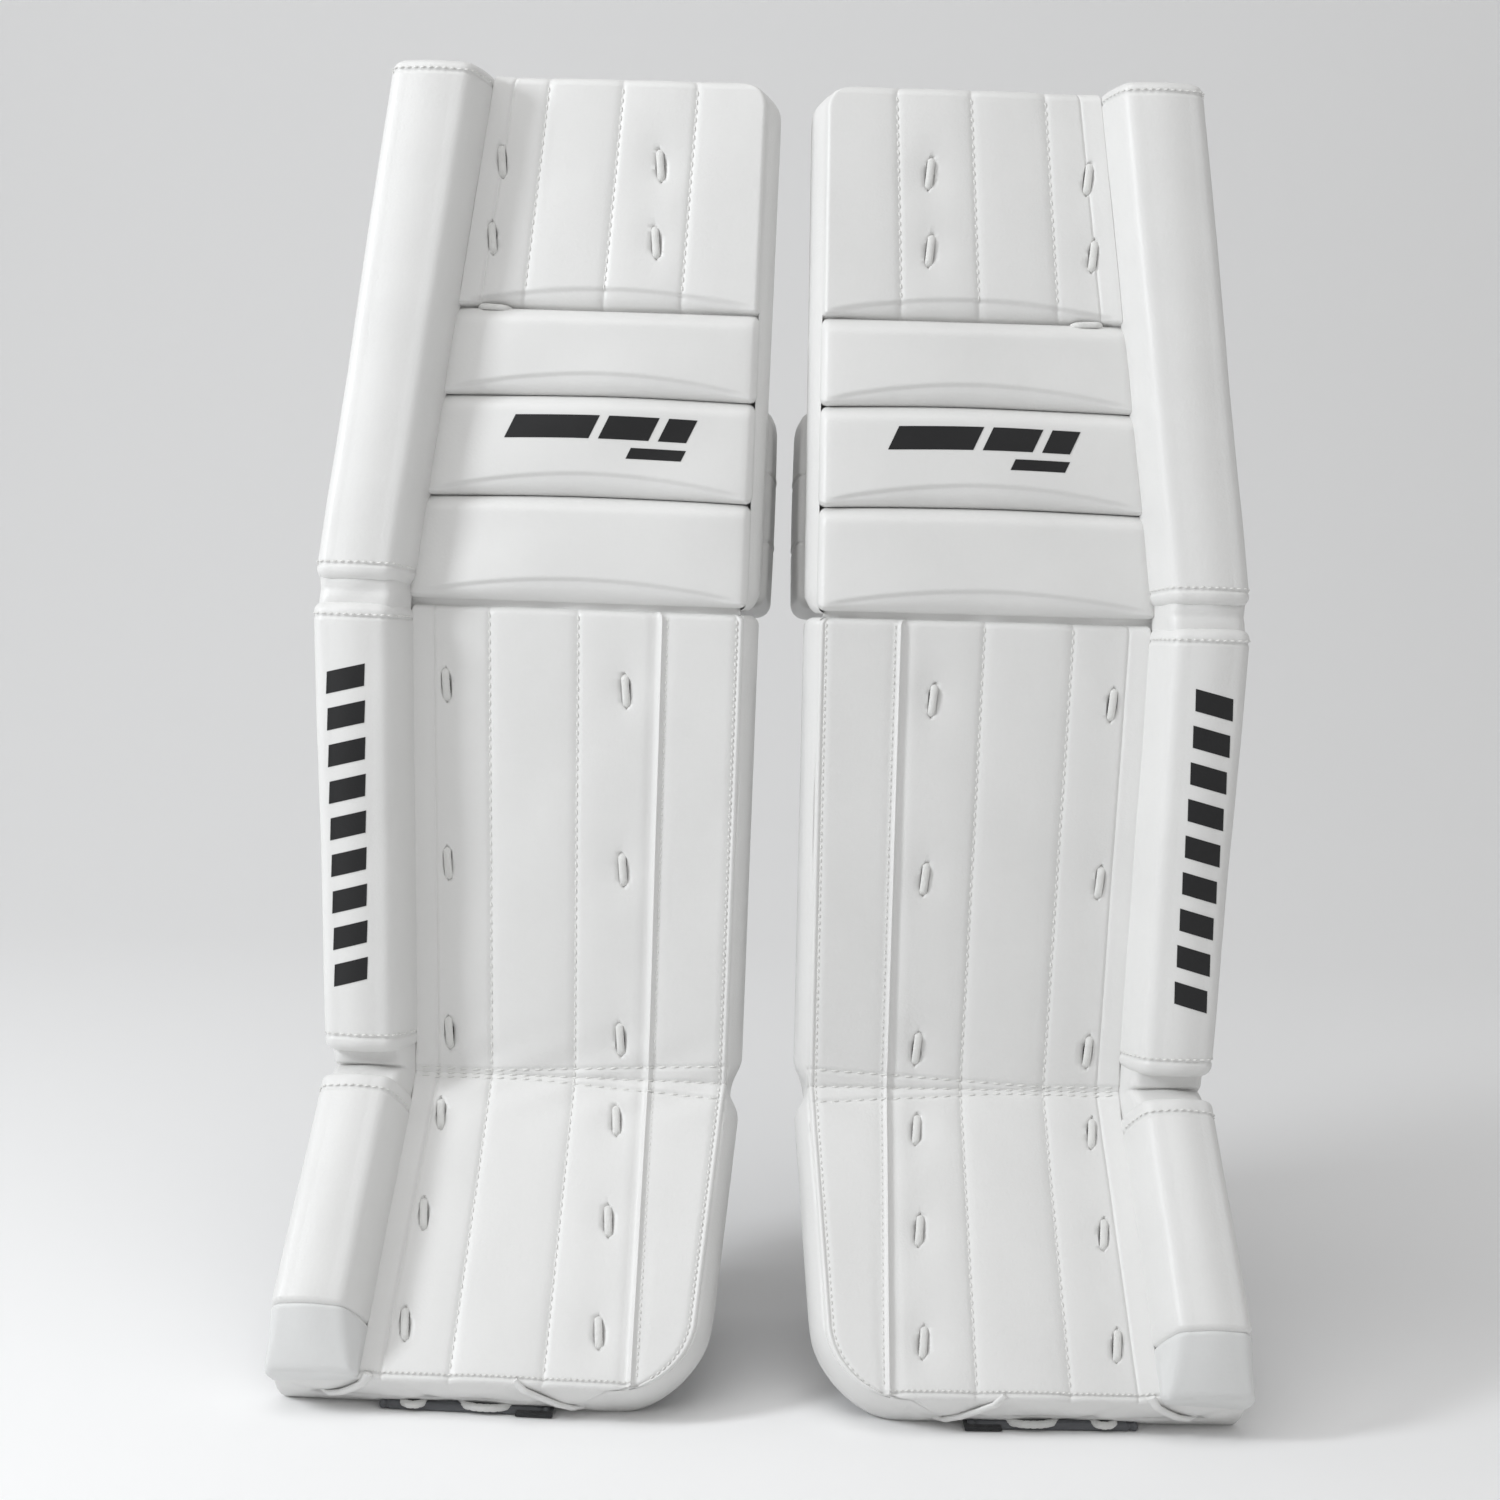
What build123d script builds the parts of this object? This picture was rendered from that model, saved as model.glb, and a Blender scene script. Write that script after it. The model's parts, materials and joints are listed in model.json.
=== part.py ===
"""A pair of ice-hockey goalie leg pads, standing upright on the toes of their boots.

One pad is modelled in its own frame: +X towards the outer side of the leg, -Y to the front, +Z up,
with the boot on the floor at Z = 0. It becomes the left pad, and its mirror image the right one.

The front of a pad has three stretches, each flat: boot, shin and upper. A point on a stretch is given by
u, across, s, up the front surface from the stretch's crease, and its depth behind that surface.
The stretches fold at two creases, the ankle break and the knee break.
"""

import os
from math import cos, radians, sin

from build123d import *

# ---- driving dimensions, mm and degrees ----
BOOT_LEAN, SHIN_LEAN, UPPER_LEAN = 40, 6, 11  # how far the top of each stretch leans back
BOOT_LENGTH, SHIN_LENGTH, UPPER_LENGTH = 204, 301, 341
FACE_THICK, PLATE_THICK, CORE_THICK = 14, 2, 28
BODY_THICK = FACE_THICK + PLATE_THICK + CORE_THICK
TOE_LAND_CUT = 2  # the toe's lowest corner is cut flat by this much, to rest on the floor
PAD_SPACING = 160  # pair's middle to each pad's own origin
TOE_OUT = 2.5  # each pad turns its toe outwards
PAD_SETBACK = -30.65  # puts the pair's middle, front to back, at Y = 0

# across the pad, u: its inner edge, the foot of the outer roll's inner wall, and its outer edge
TOE_EDGES, ANKLE_EDGES = (-123, 76, 131), (-134, 64, 117)
KNEE_EDGES, TOP_EDGES = (-135, 76.5, 134.5), (-137, 38, 99)
TOP_CORNER = 16
TOE_CORNER = 46  # radius of the boot's inner toe corner

# outer roll, in three lengths
ROLL_HEIGHT = 33  # above the face
ROLL_DRAFT = 10  # its inner wall slopes by this much
ROLL_CHAMFER = 7
BOOT_ROLL_TOP = -18
SHIN_ROLL_LOW, SHIN_ROLL_HIGH = 17, 295
UPPER_ROLL_LOW = 13
TOE_CAP_LENGTH, TOE_CAP_HEIGHT = 36, 9

# knee rolls: their boundaries, s on the upper stretch
KNEE_ROLL_EDGES = [0, 68, 133, 190]
ROLL_GAP = 2

# the creases: each side's bevel in front of and behind the hinge line, and the gap between the sides
ANKLE_FRONT, ANKLE_REAR = 7.5, 5.5
KNEE_FRONT, KNEE_REAR = 4, 7
CREASE_GAP = 0.5
OVERRUN = 12  # layers are drawn this much past a crease, then cut back to it

# leg channel behind the shin
RISER_LOW, RISER_HIGH = 18, 262
INNER_RISER_DEPTH, OUTER_RISER_DEPTH = 104, 92
CRADLE_LOW, CRADLE_HIGH, CRADLE_THICK = 130, 282, 15
WRAP_LOW, WRAP_HIGH, WRAP_THICK = 45, 235, 11
WRAP_ROOT, WRAP_CROWN, WRAP_TIP = (-117, 107.5), (-36, 131), (58, 117)  # u, depth of its inner face
CALF_STRAP_LOW, CALF_STRAP_HIGH = 115, 165
STRAP_THICK = 2.5

# knee block and knee wing behind the upper stretch
BLOCK_LOW, BLOCK_HIGH = 8, 138
BLOCK_INNER, BLOCK_OUTER, BLOCK_DEPTH = -147.5, -80, 130
BLOCK_CORNER = 12
WING_LOW, WING_HIGH = 18, 150
WING_ROOT, WING_TIP = (113, 44.5), (97, 134)  # u, depth of its outer face
WING_THICK = 12
KNEE_STRAP_LOW, KNEE_STRAP_HIGH, KNEE_STRAP_END = 60, 105, -112

# boot channel
WALL_THICK = 22
INNER_WALL, OUTER_WALL = -92, 58  # lower u of each wall
WALL_REAR = 94
BRIDGE_LENGTH, BRIDGE_HEIGHT = 46, 9
BOOT_STRAP_LOW, BOOT_STRAP_HIGH, BOOT_STRAP_END = 62, 88, -58
HOOK_LENGTH, HOOK_THICK, HOOK_OVERHANG = 32, 5, 2

# lacing loops
LOOP_LENGTH, LOOP_WIDTH, LOOP_HEIGHT = 22, 4.5, 3.5
UPPER_LOOPS = [(-70, 285), (-69, 235), (32, 285), (36, 235)]
SHIN_LOOPS = [(-61, 248), (-63, 134), (-65, 25), (54, 248), (49.5, 134), (45, 25)]
BOOT_LOOPS = [(-65.5, -28), (-66, -96), (-66, -168), (46.5, -28), (49.5, -96), (52.5, -168)]

CLEAR = 0.4  # between pieces of different bodies, and round the boot walls


def between(low, high, share):
    return low + (high - low) * share


class Stretch:
    """One flat stretch of the pad's front.

    It has a crease point, in Y and Z, a lean in degrees, the s of its two ends and the edges there.
    """

    def __init__(self, y, z, lean, ends, low_edges, high_edges):
        self.y, self.z, self.lean = y, z, lean
        self.ends, self.low_edges, self.high_edges = ends, low_edges, high_edges
        self.up = (0, sin(radians(lean)), cos(radians(lean)))
        self.rear = (0, cos(radians(lean)), -sin(radians(lean)))
        self.up_axis = Axis((0, 0, 0), self.up)

    def edges(self, s):
        """u of the inner edge, of the outer roll's foot and of the outer edge."""
        share = (s - self.ends[0]) / (self.ends[1] - self.ends[0])
        return [between(low, high, share) for low, high in zip(self.low_edges, self.high_edges)]

    def point(self, s, depth):
        """Y and Z at s up the surface and depth behind it."""
        y = self.y + s * self.up[1] + depth * self.rear[1]
        z = self.z + s * self.up[2] + depth * self.rear[2]
        return y, z

    def face_plane(self, depth):
        """Sketch (u, s); extruding goes towards the front."""
        front = (0, -self.rear[1], -self.rear[2])
        return Plane(origin=(0, *self.point(0, depth)), x_dir=(1, 0, 0), z_dir=front)

    def cross_plane(self, s):
        """Sketch (u, depth); extruding goes up the pad."""
        return Plane(origin=(0, *self.point(s, 0)), x_dir=(1, 0, 0), z_dir=self.up)


ankle_z = BOOT_LENGTH * cos(radians(BOOT_LEAN)) + BODY_THICK * sin(radians(BOOT_LEAN)) - TOE_LAND_CUT
boot = Stretch(0, ankle_z, BOOT_LEAN, (-BOOT_LENGTH, 0), TOE_EDGES, ANKLE_EDGES)
shin = Stretch(0, ankle_z, SHIN_LEAN, (0, SHIN_LENGTH), ANKLE_EDGES, KNEE_EDGES)
upper = Stretch(*shin.point(SHIN_LENGTH, 0), UPPER_LEAN, (0, UPPER_LENGTH), KNEE_EDGES, TOP_EDGES)


class Crease:
    """Where two stretches fold: the hinge line runs where the backs of their face layers meet."""

    def __init__(self, lower, higher):
        self.lean = (lower.lean + higher.lean) / 2
        reach = FACE_THICK / cos(radians(higher.lean - lower.lean) / 2)
        self.y = higher.y + reach * cos(radians(self.lean))
        self.z = higher.z - reach * sin(radians(self.lean))

    def plane(self, turn, shift):
        """A plane across the pad through the hinge line, turned back from the mean lean, shifted up."""
        up = (0, sin(radians(self.lean + turn)), cos(radians(self.lean + turn)))
        origin = (0, self.y + shift * up[1], self.z + shift * up[2])
        return Plane(origin=origin, x_dir=(1, 0, 0), z_dir=up)


ankle = Crease(boot, shin)
knee = Crease(shin, upper)
boot_front_top = ankle.plane(-ANKLE_FRONT, -CREASE_GAP)
boot_rear_top = ankle.plane(ANKLE_REAR, -CREASE_GAP)
shin_front_low = ankle.plane(ANKLE_FRONT, CREASE_GAP)
shin_rear_low = ankle.plane(-ANKLE_REAR, CREASE_GAP)
shin_front_top = knee.plane(-KNEE_FRONT, -CREASE_GAP)
shin_rear_top = knee.plane(KNEE_REAR, -CREASE_GAP)
upper_front_low = knee.plane(KNEE_FRONT, CREASE_GAP)
upper_rear_low = knee.plane(-KNEE_REAR, CREASE_GAP)


def outline(plane, corners):
    """A closed outline through the corners, placed on the plane."""
    with BuildSketch(plane) as sketch:
        with BuildLine():
            Polyline(*corners, close=True)
        make_face()
    return sketch.sketch


def section(stretch, s, corners):
    """A cross-section at s, from (u, depth) corners."""
    return outline(stretch.cross_plane(s), corners)


def band(stretch, low, high, inner_line, outer_line):
    """Corners (u, s) of a stretch's part between two s and two of its three edge lines."""
    low_edges, high_edges = stretch.edges(low), stretch.edges(high)
    return [
        (low_edges[inner_line], low),
        (low_edges[outer_line], low),
        (high_edges[outer_line], high),
        (high_edges[inner_line], high),
    ]


def roll_section(stretch, s, height=ROLL_HEIGHT):
    """The outer roll's cross-section, with its base on the stiffener plate."""
    _, foot, outer = stretch.edges(s)
    chamfer = min(ROLL_CHAMFER, height / 2)
    draft = ROLL_DRAFT * height / ROLL_HEIGHT
    corners = [
        (foot, FACE_THICK),
        (foot, 0),
        (foot + draft, -height + chamfer),
        (foot + draft + chamfer, -height),
        (outer - chamfer, -height),
        (outer, -height + chamfer),
        (outer, FACE_THICK),
    ]
    return section(stretch, s, corners)


# ---- shin ----
shin_face_outline = band(shin, -OVERRUN, SHIN_LENGTH + OVERRUN, 0, 1)
shin_body_outline = band(shin, -OVERRUN, SHIN_LENGTH + OVERRUN, 0, 2)

with BuildPart() as shin_face:
    extrude(outline(shin.face_plane(FACE_THICK), shin_face_outline), amount=FACE_THICK)
    split(bisect_by=shin_front_low, keep=Keep.TOP)
    split(bisect_by=shin_front_top, keep=Keep.BOTTOM)

with BuildPart() as shin_stiffener:
    extrude(outline(shin.face_plane(FACE_THICK + PLATE_THICK), shin_body_outline), amount=PLATE_THICK)
    split(bisect_by=shin_rear_low, keep=Keep.TOP)
    split(bisect_by=shin_rear_top, keep=Keep.BOTTOM)

with BuildPart() as shin_core:
    extrude(outline(shin.face_plane(BODY_THICK), shin_body_outline), amount=CORE_THICK)
    split(bisect_by=shin_rear_low, keep=Keep.TOP)
    split(bisect_by=shin_rear_top, keep=Keep.BOTTOM)


with BuildPart() as shin_outer_roll:
    loft([roll_section(shin, SHIN_ROLL_LOW), roll_section(shin, SHIN_ROLL_HIGH)], ruled=True)

with BuildPart() as inner_riser:
    edge = ANKLE_EDGES[0]
    riser_corners = [
        (edge, BODY_THICK),
        (edge + 54, BODY_THICK),
        (edge + 42, INNER_RISER_DEPTH),
        (edge + 6, INNER_RISER_DEPTH),
    ]
    extrude(section(shin, RISER_LOW, riser_corners), amount=RISER_HIGH - RISER_LOW)


def outer_riser_section(s):
    edge = shin.edges(s)[2]
    corners = [
        (edge, BODY_THICK),
        (edge - 48, BODY_THICK),
        (edge - 36, OUTER_RISER_DEPTH),
        (edge - 6, OUTER_RISER_DEPTH),
    ]
    return section(shin, s, corners)


with BuildPart() as outer_riser:
    loft([outer_riser_section(RISER_LOW), outer_riser_section(RISER_HIGH)], ruled=True)

with BuildPart() as shin_cradle:
    cradle_corners = [(-72, CRADLE_LOW), (62, CRADLE_LOW), (66, CRADLE_HIGH), (-72, CRADLE_HIGH)]
    extrude(outline(shin.face_plane(BODY_THICK + CRADLE_THICK), cradle_corners), amount=CRADLE_THICK)


# ---- upper: thigh panel, knee rolls, core and knee block ----
def upper_panel(low, high):
    """A part of the upper's face layer."""
    extrude(outline(upper.face_plane(FACE_THICK), band(upper, low, high, 0, 1)), amount=FACE_THICK)


with BuildPart() as thigh_face:
    upper_panel(KNEE_ROLL_EDGES[3] + ROLL_GAP, UPPER_LENGTH)
    face_edges = edges().filter_by(Axis(upper.face_plane(0).origin, upper.rear))
    chamfer(face_edges.sort_by(Axis.Z)[-2:].sort_by(Axis.X)[:1], length=TOP_CORNER)

with BuildPart() as knee_roll_top:
    upper_panel(KNEE_ROLL_EDGES[2] + ROLL_GAP, KNEE_ROLL_EDGES[3])

with BuildPart() as knee_roll_middle:
    upper_panel(KNEE_ROLL_EDGES[1] + ROLL_GAP, KNEE_ROLL_EDGES[2])

with BuildPart() as knee_roll_bottom:
    upper_panel(-OVERRUN, KNEE_ROLL_EDGES[1])
    split(bisect_by=upper_front_low, keep=Keep.TOP)

upper_body_outline = band(upper, -OVERRUN, UPPER_LENGTH, 0, 2)[:3] + [
    (TOP_EDGES[0] + TOP_CORNER, UPPER_LENGTH),
    (TOP_EDGES[0], UPPER_LENGTH - TOP_CORNER),
]

with BuildPart() as upper_stiffener:
    extrude(outline(upper.face_plane(FACE_THICK + PLATE_THICK), upper_body_outline), amount=PLATE_THICK)
    split(bisect_by=upper_rear_low, keep=Keep.TOP)

with BuildPart() as upper_core:
    extrude(outline(upper.face_plane(BODY_THICK), upper_body_outline), amount=CORE_THICK)
    split(bisect_by=upper_rear_low, keep=Keep.TOP)


with BuildPart() as upper_outer_roll:
    loft([roll_section(upper, UPPER_ROLL_LOW), roll_section(upper, UPPER_LENGTH)], ruled=True)

with BuildPart() as knee_block:
    block_corners = [
        (BLOCK_INNER, BODY_THICK),
        (BLOCK_OUTER, BODY_THICK),
        (BLOCK_OUTER, BLOCK_DEPTH),
        (BLOCK_INNER, BLOCK_DEPTH),
    ]
    extrude(section(upper, BLOCK_LOW, block_corners), amount=BLOCK_HIGH - BLOCK_LOW)
    fillet(edges().filter_by(upper.up_axis).sort_by(Axis.Y)[-2:], radius=BLOCK_CORNER)


# ---- boot ----
def boot_layer(depth, thick, outer_line):
    """A layer of the boot, out to one of its edge lines, with the round inner toe corner."""
    inner, toe = TOE_EDGES[0], -BOOT_LENGTH
    _, low_outer, high_outer, high_inner = band(boot, toe, OVERRUN, 0, outer_line)
    corner_top = (boot.edges(toe + TOE_CORNER)[0], toe + TOE_CORNER)
    corner_low = (inner + TOE_CORNER, toe)
    bulge = TOE_CORNER * (1 - cos(radians(45)))
    with BuildSketch(boot.face_plane(depth)) as sketch:
        with BuildLine():
            Polyline(corner_low, low_outer, high_outer, high_inner, corner_top)
            ThreePointArc(corner_top, (inner + bulge, toe + bulge), corner_low)
        make_face()
    extrude(sketch.sketch, amount=thick)


with BuildPart() as boot_face:
    boot_layer(FACE_THICK, FACE_THICK, 1)
    split(bisect_by=boot_front_top, keep=Keep.BOTTOM)

with BuildPart() as boot_stiffener:
    boot_layer(FACE_THICK + PLATE_THICK, PLATE_THICK, 2)
    split(bisect_by=boot_rear_top, keep=Keep.BOTTOM)

with BuildPart() as boot_core:
    boot_layer(BODY_THICK, CORE_THICK, 2)
    split(bisect_by=boot_rear_top, keep=Keep.BOTTOM)
    split(bisect_by=Plane.XY, keep=Keep.TOP)


with BuildPart() as boot_outer_roll:
    cap_top = roll_section(boot, TOE_CAP_LENGTH - BOOT_LENGTH)
    loft([cap_top, roll_section(boot, BOOT_ROLL_TOP)], ruled=True)
    loft([roll_section(boot, -BOOT_LENGTH, TOE_CAP_HEIGHT), cap_top], ruled=True)

wall_top = boot.point(-16, BODY_THICK)
core_toe_y = boot.point(-BOOT_LENGTH, BODY_THICK)[0]
wall_foot_y = core_toe_y + TOE_LAND_CUT * sin(radians(BOOT_LEAN)) / cos(radians(BOOT_LEAN))
wall_outline = [
    (wall_top[0] + CLEAR, wall_top[1]),
    (wall_foot_y + CLEAR, 0),
    (WALL_REAR - 8, 0),
    (WALL_REAR, 70),
    (WALL_REAR - 22, 126),
]


with BuildPart() as boot_walls:
    for low in (INNER_WALL, OUTER_WALL):
        extrude(outline(Plane.YZ.offset(low), wall_outline), amount=WALL_THICK)

with BuildPart() as toe_bridge:
    bridge_front = core_toe_y + 10
    with BuildSketch():
        with Locations(((INNER_WALL + WALL_THICK + OUTER_WALL) / 2, bridge_front + BRIDGE_LENGTH / 2)):
            Rectangle(OUTER_WALL - INNER_WALL - WALL_THICK, BRIDGE_LENGTH)
    extrude(amount=BRIDGE_HEIGHT)


# ---- lacing loops: short stretches of cord lying on the face ----
def loops(stretch, places):
    with BuildSketch(stretch.face_plane(0)) as sketch:
        with Locations(*places):
            SlotOverall(LOOP_LENGTH, LOOP_WIDTH, rotation=90)
    extrude(sketch.sketch, amount=LOOP_HEIGHT)


with BuildPart() as upper_laces:
    loops(upper, UPPER_LOOPS)

with BuildPart() as shin_laces:
    loops(shin, SHIN_LOOPS)

with BuildPart() as boot_laces:
    loops(boot, BOOT_LOOPS)

# ---- calf wrap: a curved padded panel that swings on the inner riser, with its strap ----
wrap_outer_root = (WRAP_ROOT[0] - 6, WRAP_ROOT[1] + WRAP_THICK - 2)
wrap_outer_crown = (WRAP_CROWN[0], WRAP_CROWN[1] + WRAP_THICK)
wrap_outer_tip = (WRAP_TIP[0] + 3, WRAP_TIP[1] + WRAP_THICK - 1)
with BuildPart() as calf_wrap:
    with BuildSketch(shin.cross_plane(WRAP_LOW)):
        with BuildLine():
            ThreePointArc(WRAP_ROOT, WRAP_CROWN, WRAP_TIP)
            Line(WRAP_TIP, wrap_outer_tip)
            ThreePointArc(wrap_outer_tip, wrap_outer_crown, wrap_outer_root)
            Line(wrap_outer_root, WRAP_ROOT)
        make_face()
    extrude(amount=WRAP_HIGH - WRAP_LOW)

CALF_STRAP_ROUTE = [(-20, 144.5), (20, 141), (61, 130), (92, 95), (118, 93)]  # u, depth
with BuildPart() as calf_strap:
    strap_corners = CALF_STRAP_ROUTE + [(u, depth + STRAP_THICK) for u, depth in reversed(CALF_STRAP_ROUTE)]
    extrude(section(shin, CALF_STRAP_LOW, strap_corners), amount=CALF_STRAP_HIGH - CALF_STRAP_LOW)

# ---- knee wing: a padded flap on the outer edge, and the strap that closes on the knee block ----
with BuildPart() as knee_wing:
    wing_corners = [
        WING_ROOT,
        (WING_ROOT[0] - WING_THICK, WING_ROOT[1]),
        (90, 92),
        (WING_TIP[0] - WING_THICK, WING_TIP[1]),
        WING_TIP,
        (90 + WING_THICK + 1, 92),
    ]
    extrude(section(upper, WING_LOW, wing_corners), amount=WING_HIGH - WING_LOW)

with BuildPart() as knee_strap:
    strap_corners = [
        WING_TIP,
        (WING_TIP[0] - WING_THICK, WING_TIP[1]),
        (KNEE_STRAP_END, BLOCK_DEPTH + CLEAR),
        (KNEE_STRAP_END, BLOCK_DEPTH + CLEAR + STRAP_THICK),
        (WING_TIP[0], WING_TIP[1] + STRAP_THICK),
    ]
    extrude(section(upper, KNEE_STRAP_LOW, strap_corners), amount=KNEE_STRAP_HIGH - KNEE_STRAP_LOW)

# ---- boot strap, closing behind the ankle, and the hook plate at its end ----
boot_strap_y = WALL_REAR + CLEAR
boot_strap_root = OUTER_WALL + WALL_THICK
with BuildPart() as boot_strap:
    with BuildSketch(Plane.XY.offset(BOOT_STRAP_LOW)):
        with Locations(((boot_strap_root + BOOT_STRAP_END) / 2, boot_strap_y + STRAP_THICK / 2)):
            Rectangle(boot_strap_root - BOOT_STRAP_END, STRAP_THICK)
    extrude(amount=BOOT_STRAP_HIGH - BOOT_STRAP_LOW)

with BuildPart() as boot_hook:
    with BuildSketch(Plane.XY.offset(BOOT_STRAP_LOW - HOOK_OVERHANG)):
        with Locations((BOOT_STRAP_END - HOOK_LENGTH / 2, boot_strap_y + HOOK_THICK / 2)):
            Rectangle(HOOK_LENGTH, HOOK_THICK)
    extrude(amount=BOOT_STRAP_HIGH - BOOT_STRAP_LOW + 2 * HOOK_OVERHANG)

PIECES = {
    "shin_face": shin_face,
    "shin_stiffener": shin_stiffener,
    "shin_core": shin_core,
    "shin_outer_roll": shin_outer_roll,
    "inner_riser": inner_riser,
    "outer_riser": outer_riser,
    "shin_cradle": shin_cradle,
    "shin_laces": shin_laces,
    "thigh_face": thigh_face,
    "knee_roll_top": knee_roll_top,
    "knee_roll_middle": knee_roll_middle,
    "knee_roll_bottom": knee_roll_bottom,
    "upper_stiffener": upper_stiffener,
    "upper_core": upper_core,
    "upper_outer_roll": upper_outer_roll,
    "upper_laces": upper_laces,
    "knee_block": knee_block,
    "boot_face": boot_face,
    "boot_stiffener": boot_stiffener,
    "boot_core": boot_core,
    "boot_outer_roll": boot_outer_roll,
    "boot_walls": boot_walls,
    "toe_bridge": toe_bridge,
    "boot_laces": boot_laces,
    "calf_wrap": calf_wrap,
    "calf_strap": calf_strap,
    "knee_wing": knee_wing,
    "knee_strap": knee_strap,
    "boot_strap": boot_strap,
    "boot_hook": boot_hook,
}

os.makedirs("parts", exist_ok=True)
left_place = Location((PAD_SPACING, PAD_SETBACK, 0), (0, 0, TOE_OUT))
for name, piece in PIECES.items():
    left = piece.part.moved(left_place)
    right = mirror(left, about=Plane.YZ)
    for side, solid in (("left", left), ("right", right)):
        solid.label = f"{side}_{name}"
        export_step(solid, f"parts/{side}_{name}.step")
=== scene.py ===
"""The looks of a pair of ice-hockey goalie leg pads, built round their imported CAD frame.

Each pad is drawn in its own coordinates, in millimetres: u across, towards the outer side, s up the front
surface from a crease, and n out of the front surface. The lower part is the boot and the shin, folded at
the ankle crease, where s is 0. The upper part starts at the knee crease.
"""

import json
import math

import bmesh
import bpy
import numpy as np
from mathutils import Matrix, Vector


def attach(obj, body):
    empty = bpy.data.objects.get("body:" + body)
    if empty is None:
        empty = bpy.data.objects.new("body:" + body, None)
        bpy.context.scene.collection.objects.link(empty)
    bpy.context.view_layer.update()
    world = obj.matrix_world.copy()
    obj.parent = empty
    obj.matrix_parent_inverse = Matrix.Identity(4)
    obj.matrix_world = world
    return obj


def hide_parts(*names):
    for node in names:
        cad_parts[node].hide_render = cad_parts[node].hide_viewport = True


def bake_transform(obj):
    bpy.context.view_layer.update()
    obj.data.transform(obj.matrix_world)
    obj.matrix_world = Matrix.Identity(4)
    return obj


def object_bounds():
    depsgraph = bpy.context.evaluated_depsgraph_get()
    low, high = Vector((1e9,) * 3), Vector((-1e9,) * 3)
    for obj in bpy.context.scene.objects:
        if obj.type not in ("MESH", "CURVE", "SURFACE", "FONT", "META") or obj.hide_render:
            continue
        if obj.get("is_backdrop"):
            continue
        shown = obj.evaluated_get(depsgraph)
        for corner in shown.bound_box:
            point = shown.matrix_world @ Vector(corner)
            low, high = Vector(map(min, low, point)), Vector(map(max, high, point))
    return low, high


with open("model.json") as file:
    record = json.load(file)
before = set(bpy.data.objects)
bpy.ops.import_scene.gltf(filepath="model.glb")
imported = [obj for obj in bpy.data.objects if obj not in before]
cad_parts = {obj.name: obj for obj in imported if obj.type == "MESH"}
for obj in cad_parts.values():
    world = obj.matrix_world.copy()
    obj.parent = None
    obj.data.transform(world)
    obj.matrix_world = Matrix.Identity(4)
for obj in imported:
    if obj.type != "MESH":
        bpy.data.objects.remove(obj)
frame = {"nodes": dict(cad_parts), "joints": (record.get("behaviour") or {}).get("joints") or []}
cad_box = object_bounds()

MM = 0.001

# the pad's own sizes in millimetres, as in its CAD model
BOOT_LENGTH, SHIN_LENGTH, UPPER_LENGTH = 204, 301, 341
THICK = 44
TOE, ANKLE = (-123, 76, 131), (-134, 64, 117)  # inner edge, foot of the roll, outer edge
KNEE, TOP = (-135, 76.5, 134.5), (-137, 38, 99)
TOE_CORNER, TOP_CORNER = 46, 16
ROLL_HEIGHT, ROLL_DRAFT = 33, 10
TOE_CAP_LENGTH, TOE_CAP_HEIGHT = 36, 9
BOOT_ROLL_TOP, UPPER_ROLL_LOW = -18, 13
SHIN_ROLL_LOW, SHIN_ROLL_HIGH = 17, 295
KNEE_ROLL_EDGES = (0, 68, 133, 190)
UPPER_LOOPS = [(-70, 285), (-69, 235), (32, 285), (36, 235)]
SHIN_LOOPS = [(-61, 248), (-63, 134), (-65, 25), (54, 248), (49.5, 134), (45, 25)]
BOOT_LOOPS = [(-65.5, -28), (-66, -96), (-66, -168), (46.5, -28), (49.5, -96), (52.5, -168)]
LOOP_HALF, LOOP_LEAN, SLIT_HALF = 10.5, 1.0, 2.7
# low and high ends of the pieces behind the shin, in s from the ankle, and behind the knee, from the knee
RISERS, CRADLE, CALF_WRAP = (18, 262), (130, 282), (45, 235)
KNEE_BLOCK, KNEE_WING = (8, 138), (18, 150)
# the boot channel's walls: u where each one starts, and their thickness
WALL_STARTS, WALL_THICK = (-92, 58), 22

# seams of the front, u at the toe, ankle, knee crease and, for the thigh panel, its low and top ends
BEAD = (-88, -84, -83)
STITCHED = ((-35, -36.5, -29), (22, 16.7, 28))
THIGH_STITCHED = ((-86.5, -92.3), (-36.3, -44.7), (14.6, 3.1))
CREASE_BLEND = 10  # half the length of surface that turns at the ankle


# ---- pad coordinates ----
def unit(vectors):
    return vectors / (np.linalg.norm(vectors, axis=-1, keepdims=True) + 1e-12)


def joint(name):
    return next(j for j in frame["joints"] if j["name"] == name)


def front_plane(node):
    """A point and the normal of the largest face of a CAD node that looks to the front."""
    polygon = max(frame["nodes"][node].data.polygons, key=lambda p: -p.area * p.normal.y)
    return np.array(polygon.center), np.array(polygon.normal)


class Stretch:
    def __init__(self, origin, across, front):
        self.origin, self.across, self.front = origin, across, front
        up = np.cross(front, across)
        self.up = up * np.sign(up[2])

    def __call__(self, u, s, n):
        u, s, n = (np.asarray(x, float)[..., None] * MM for x in (u, s, n))
        return self.origin + u * self.across + s * self.up + n * self.front


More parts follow.
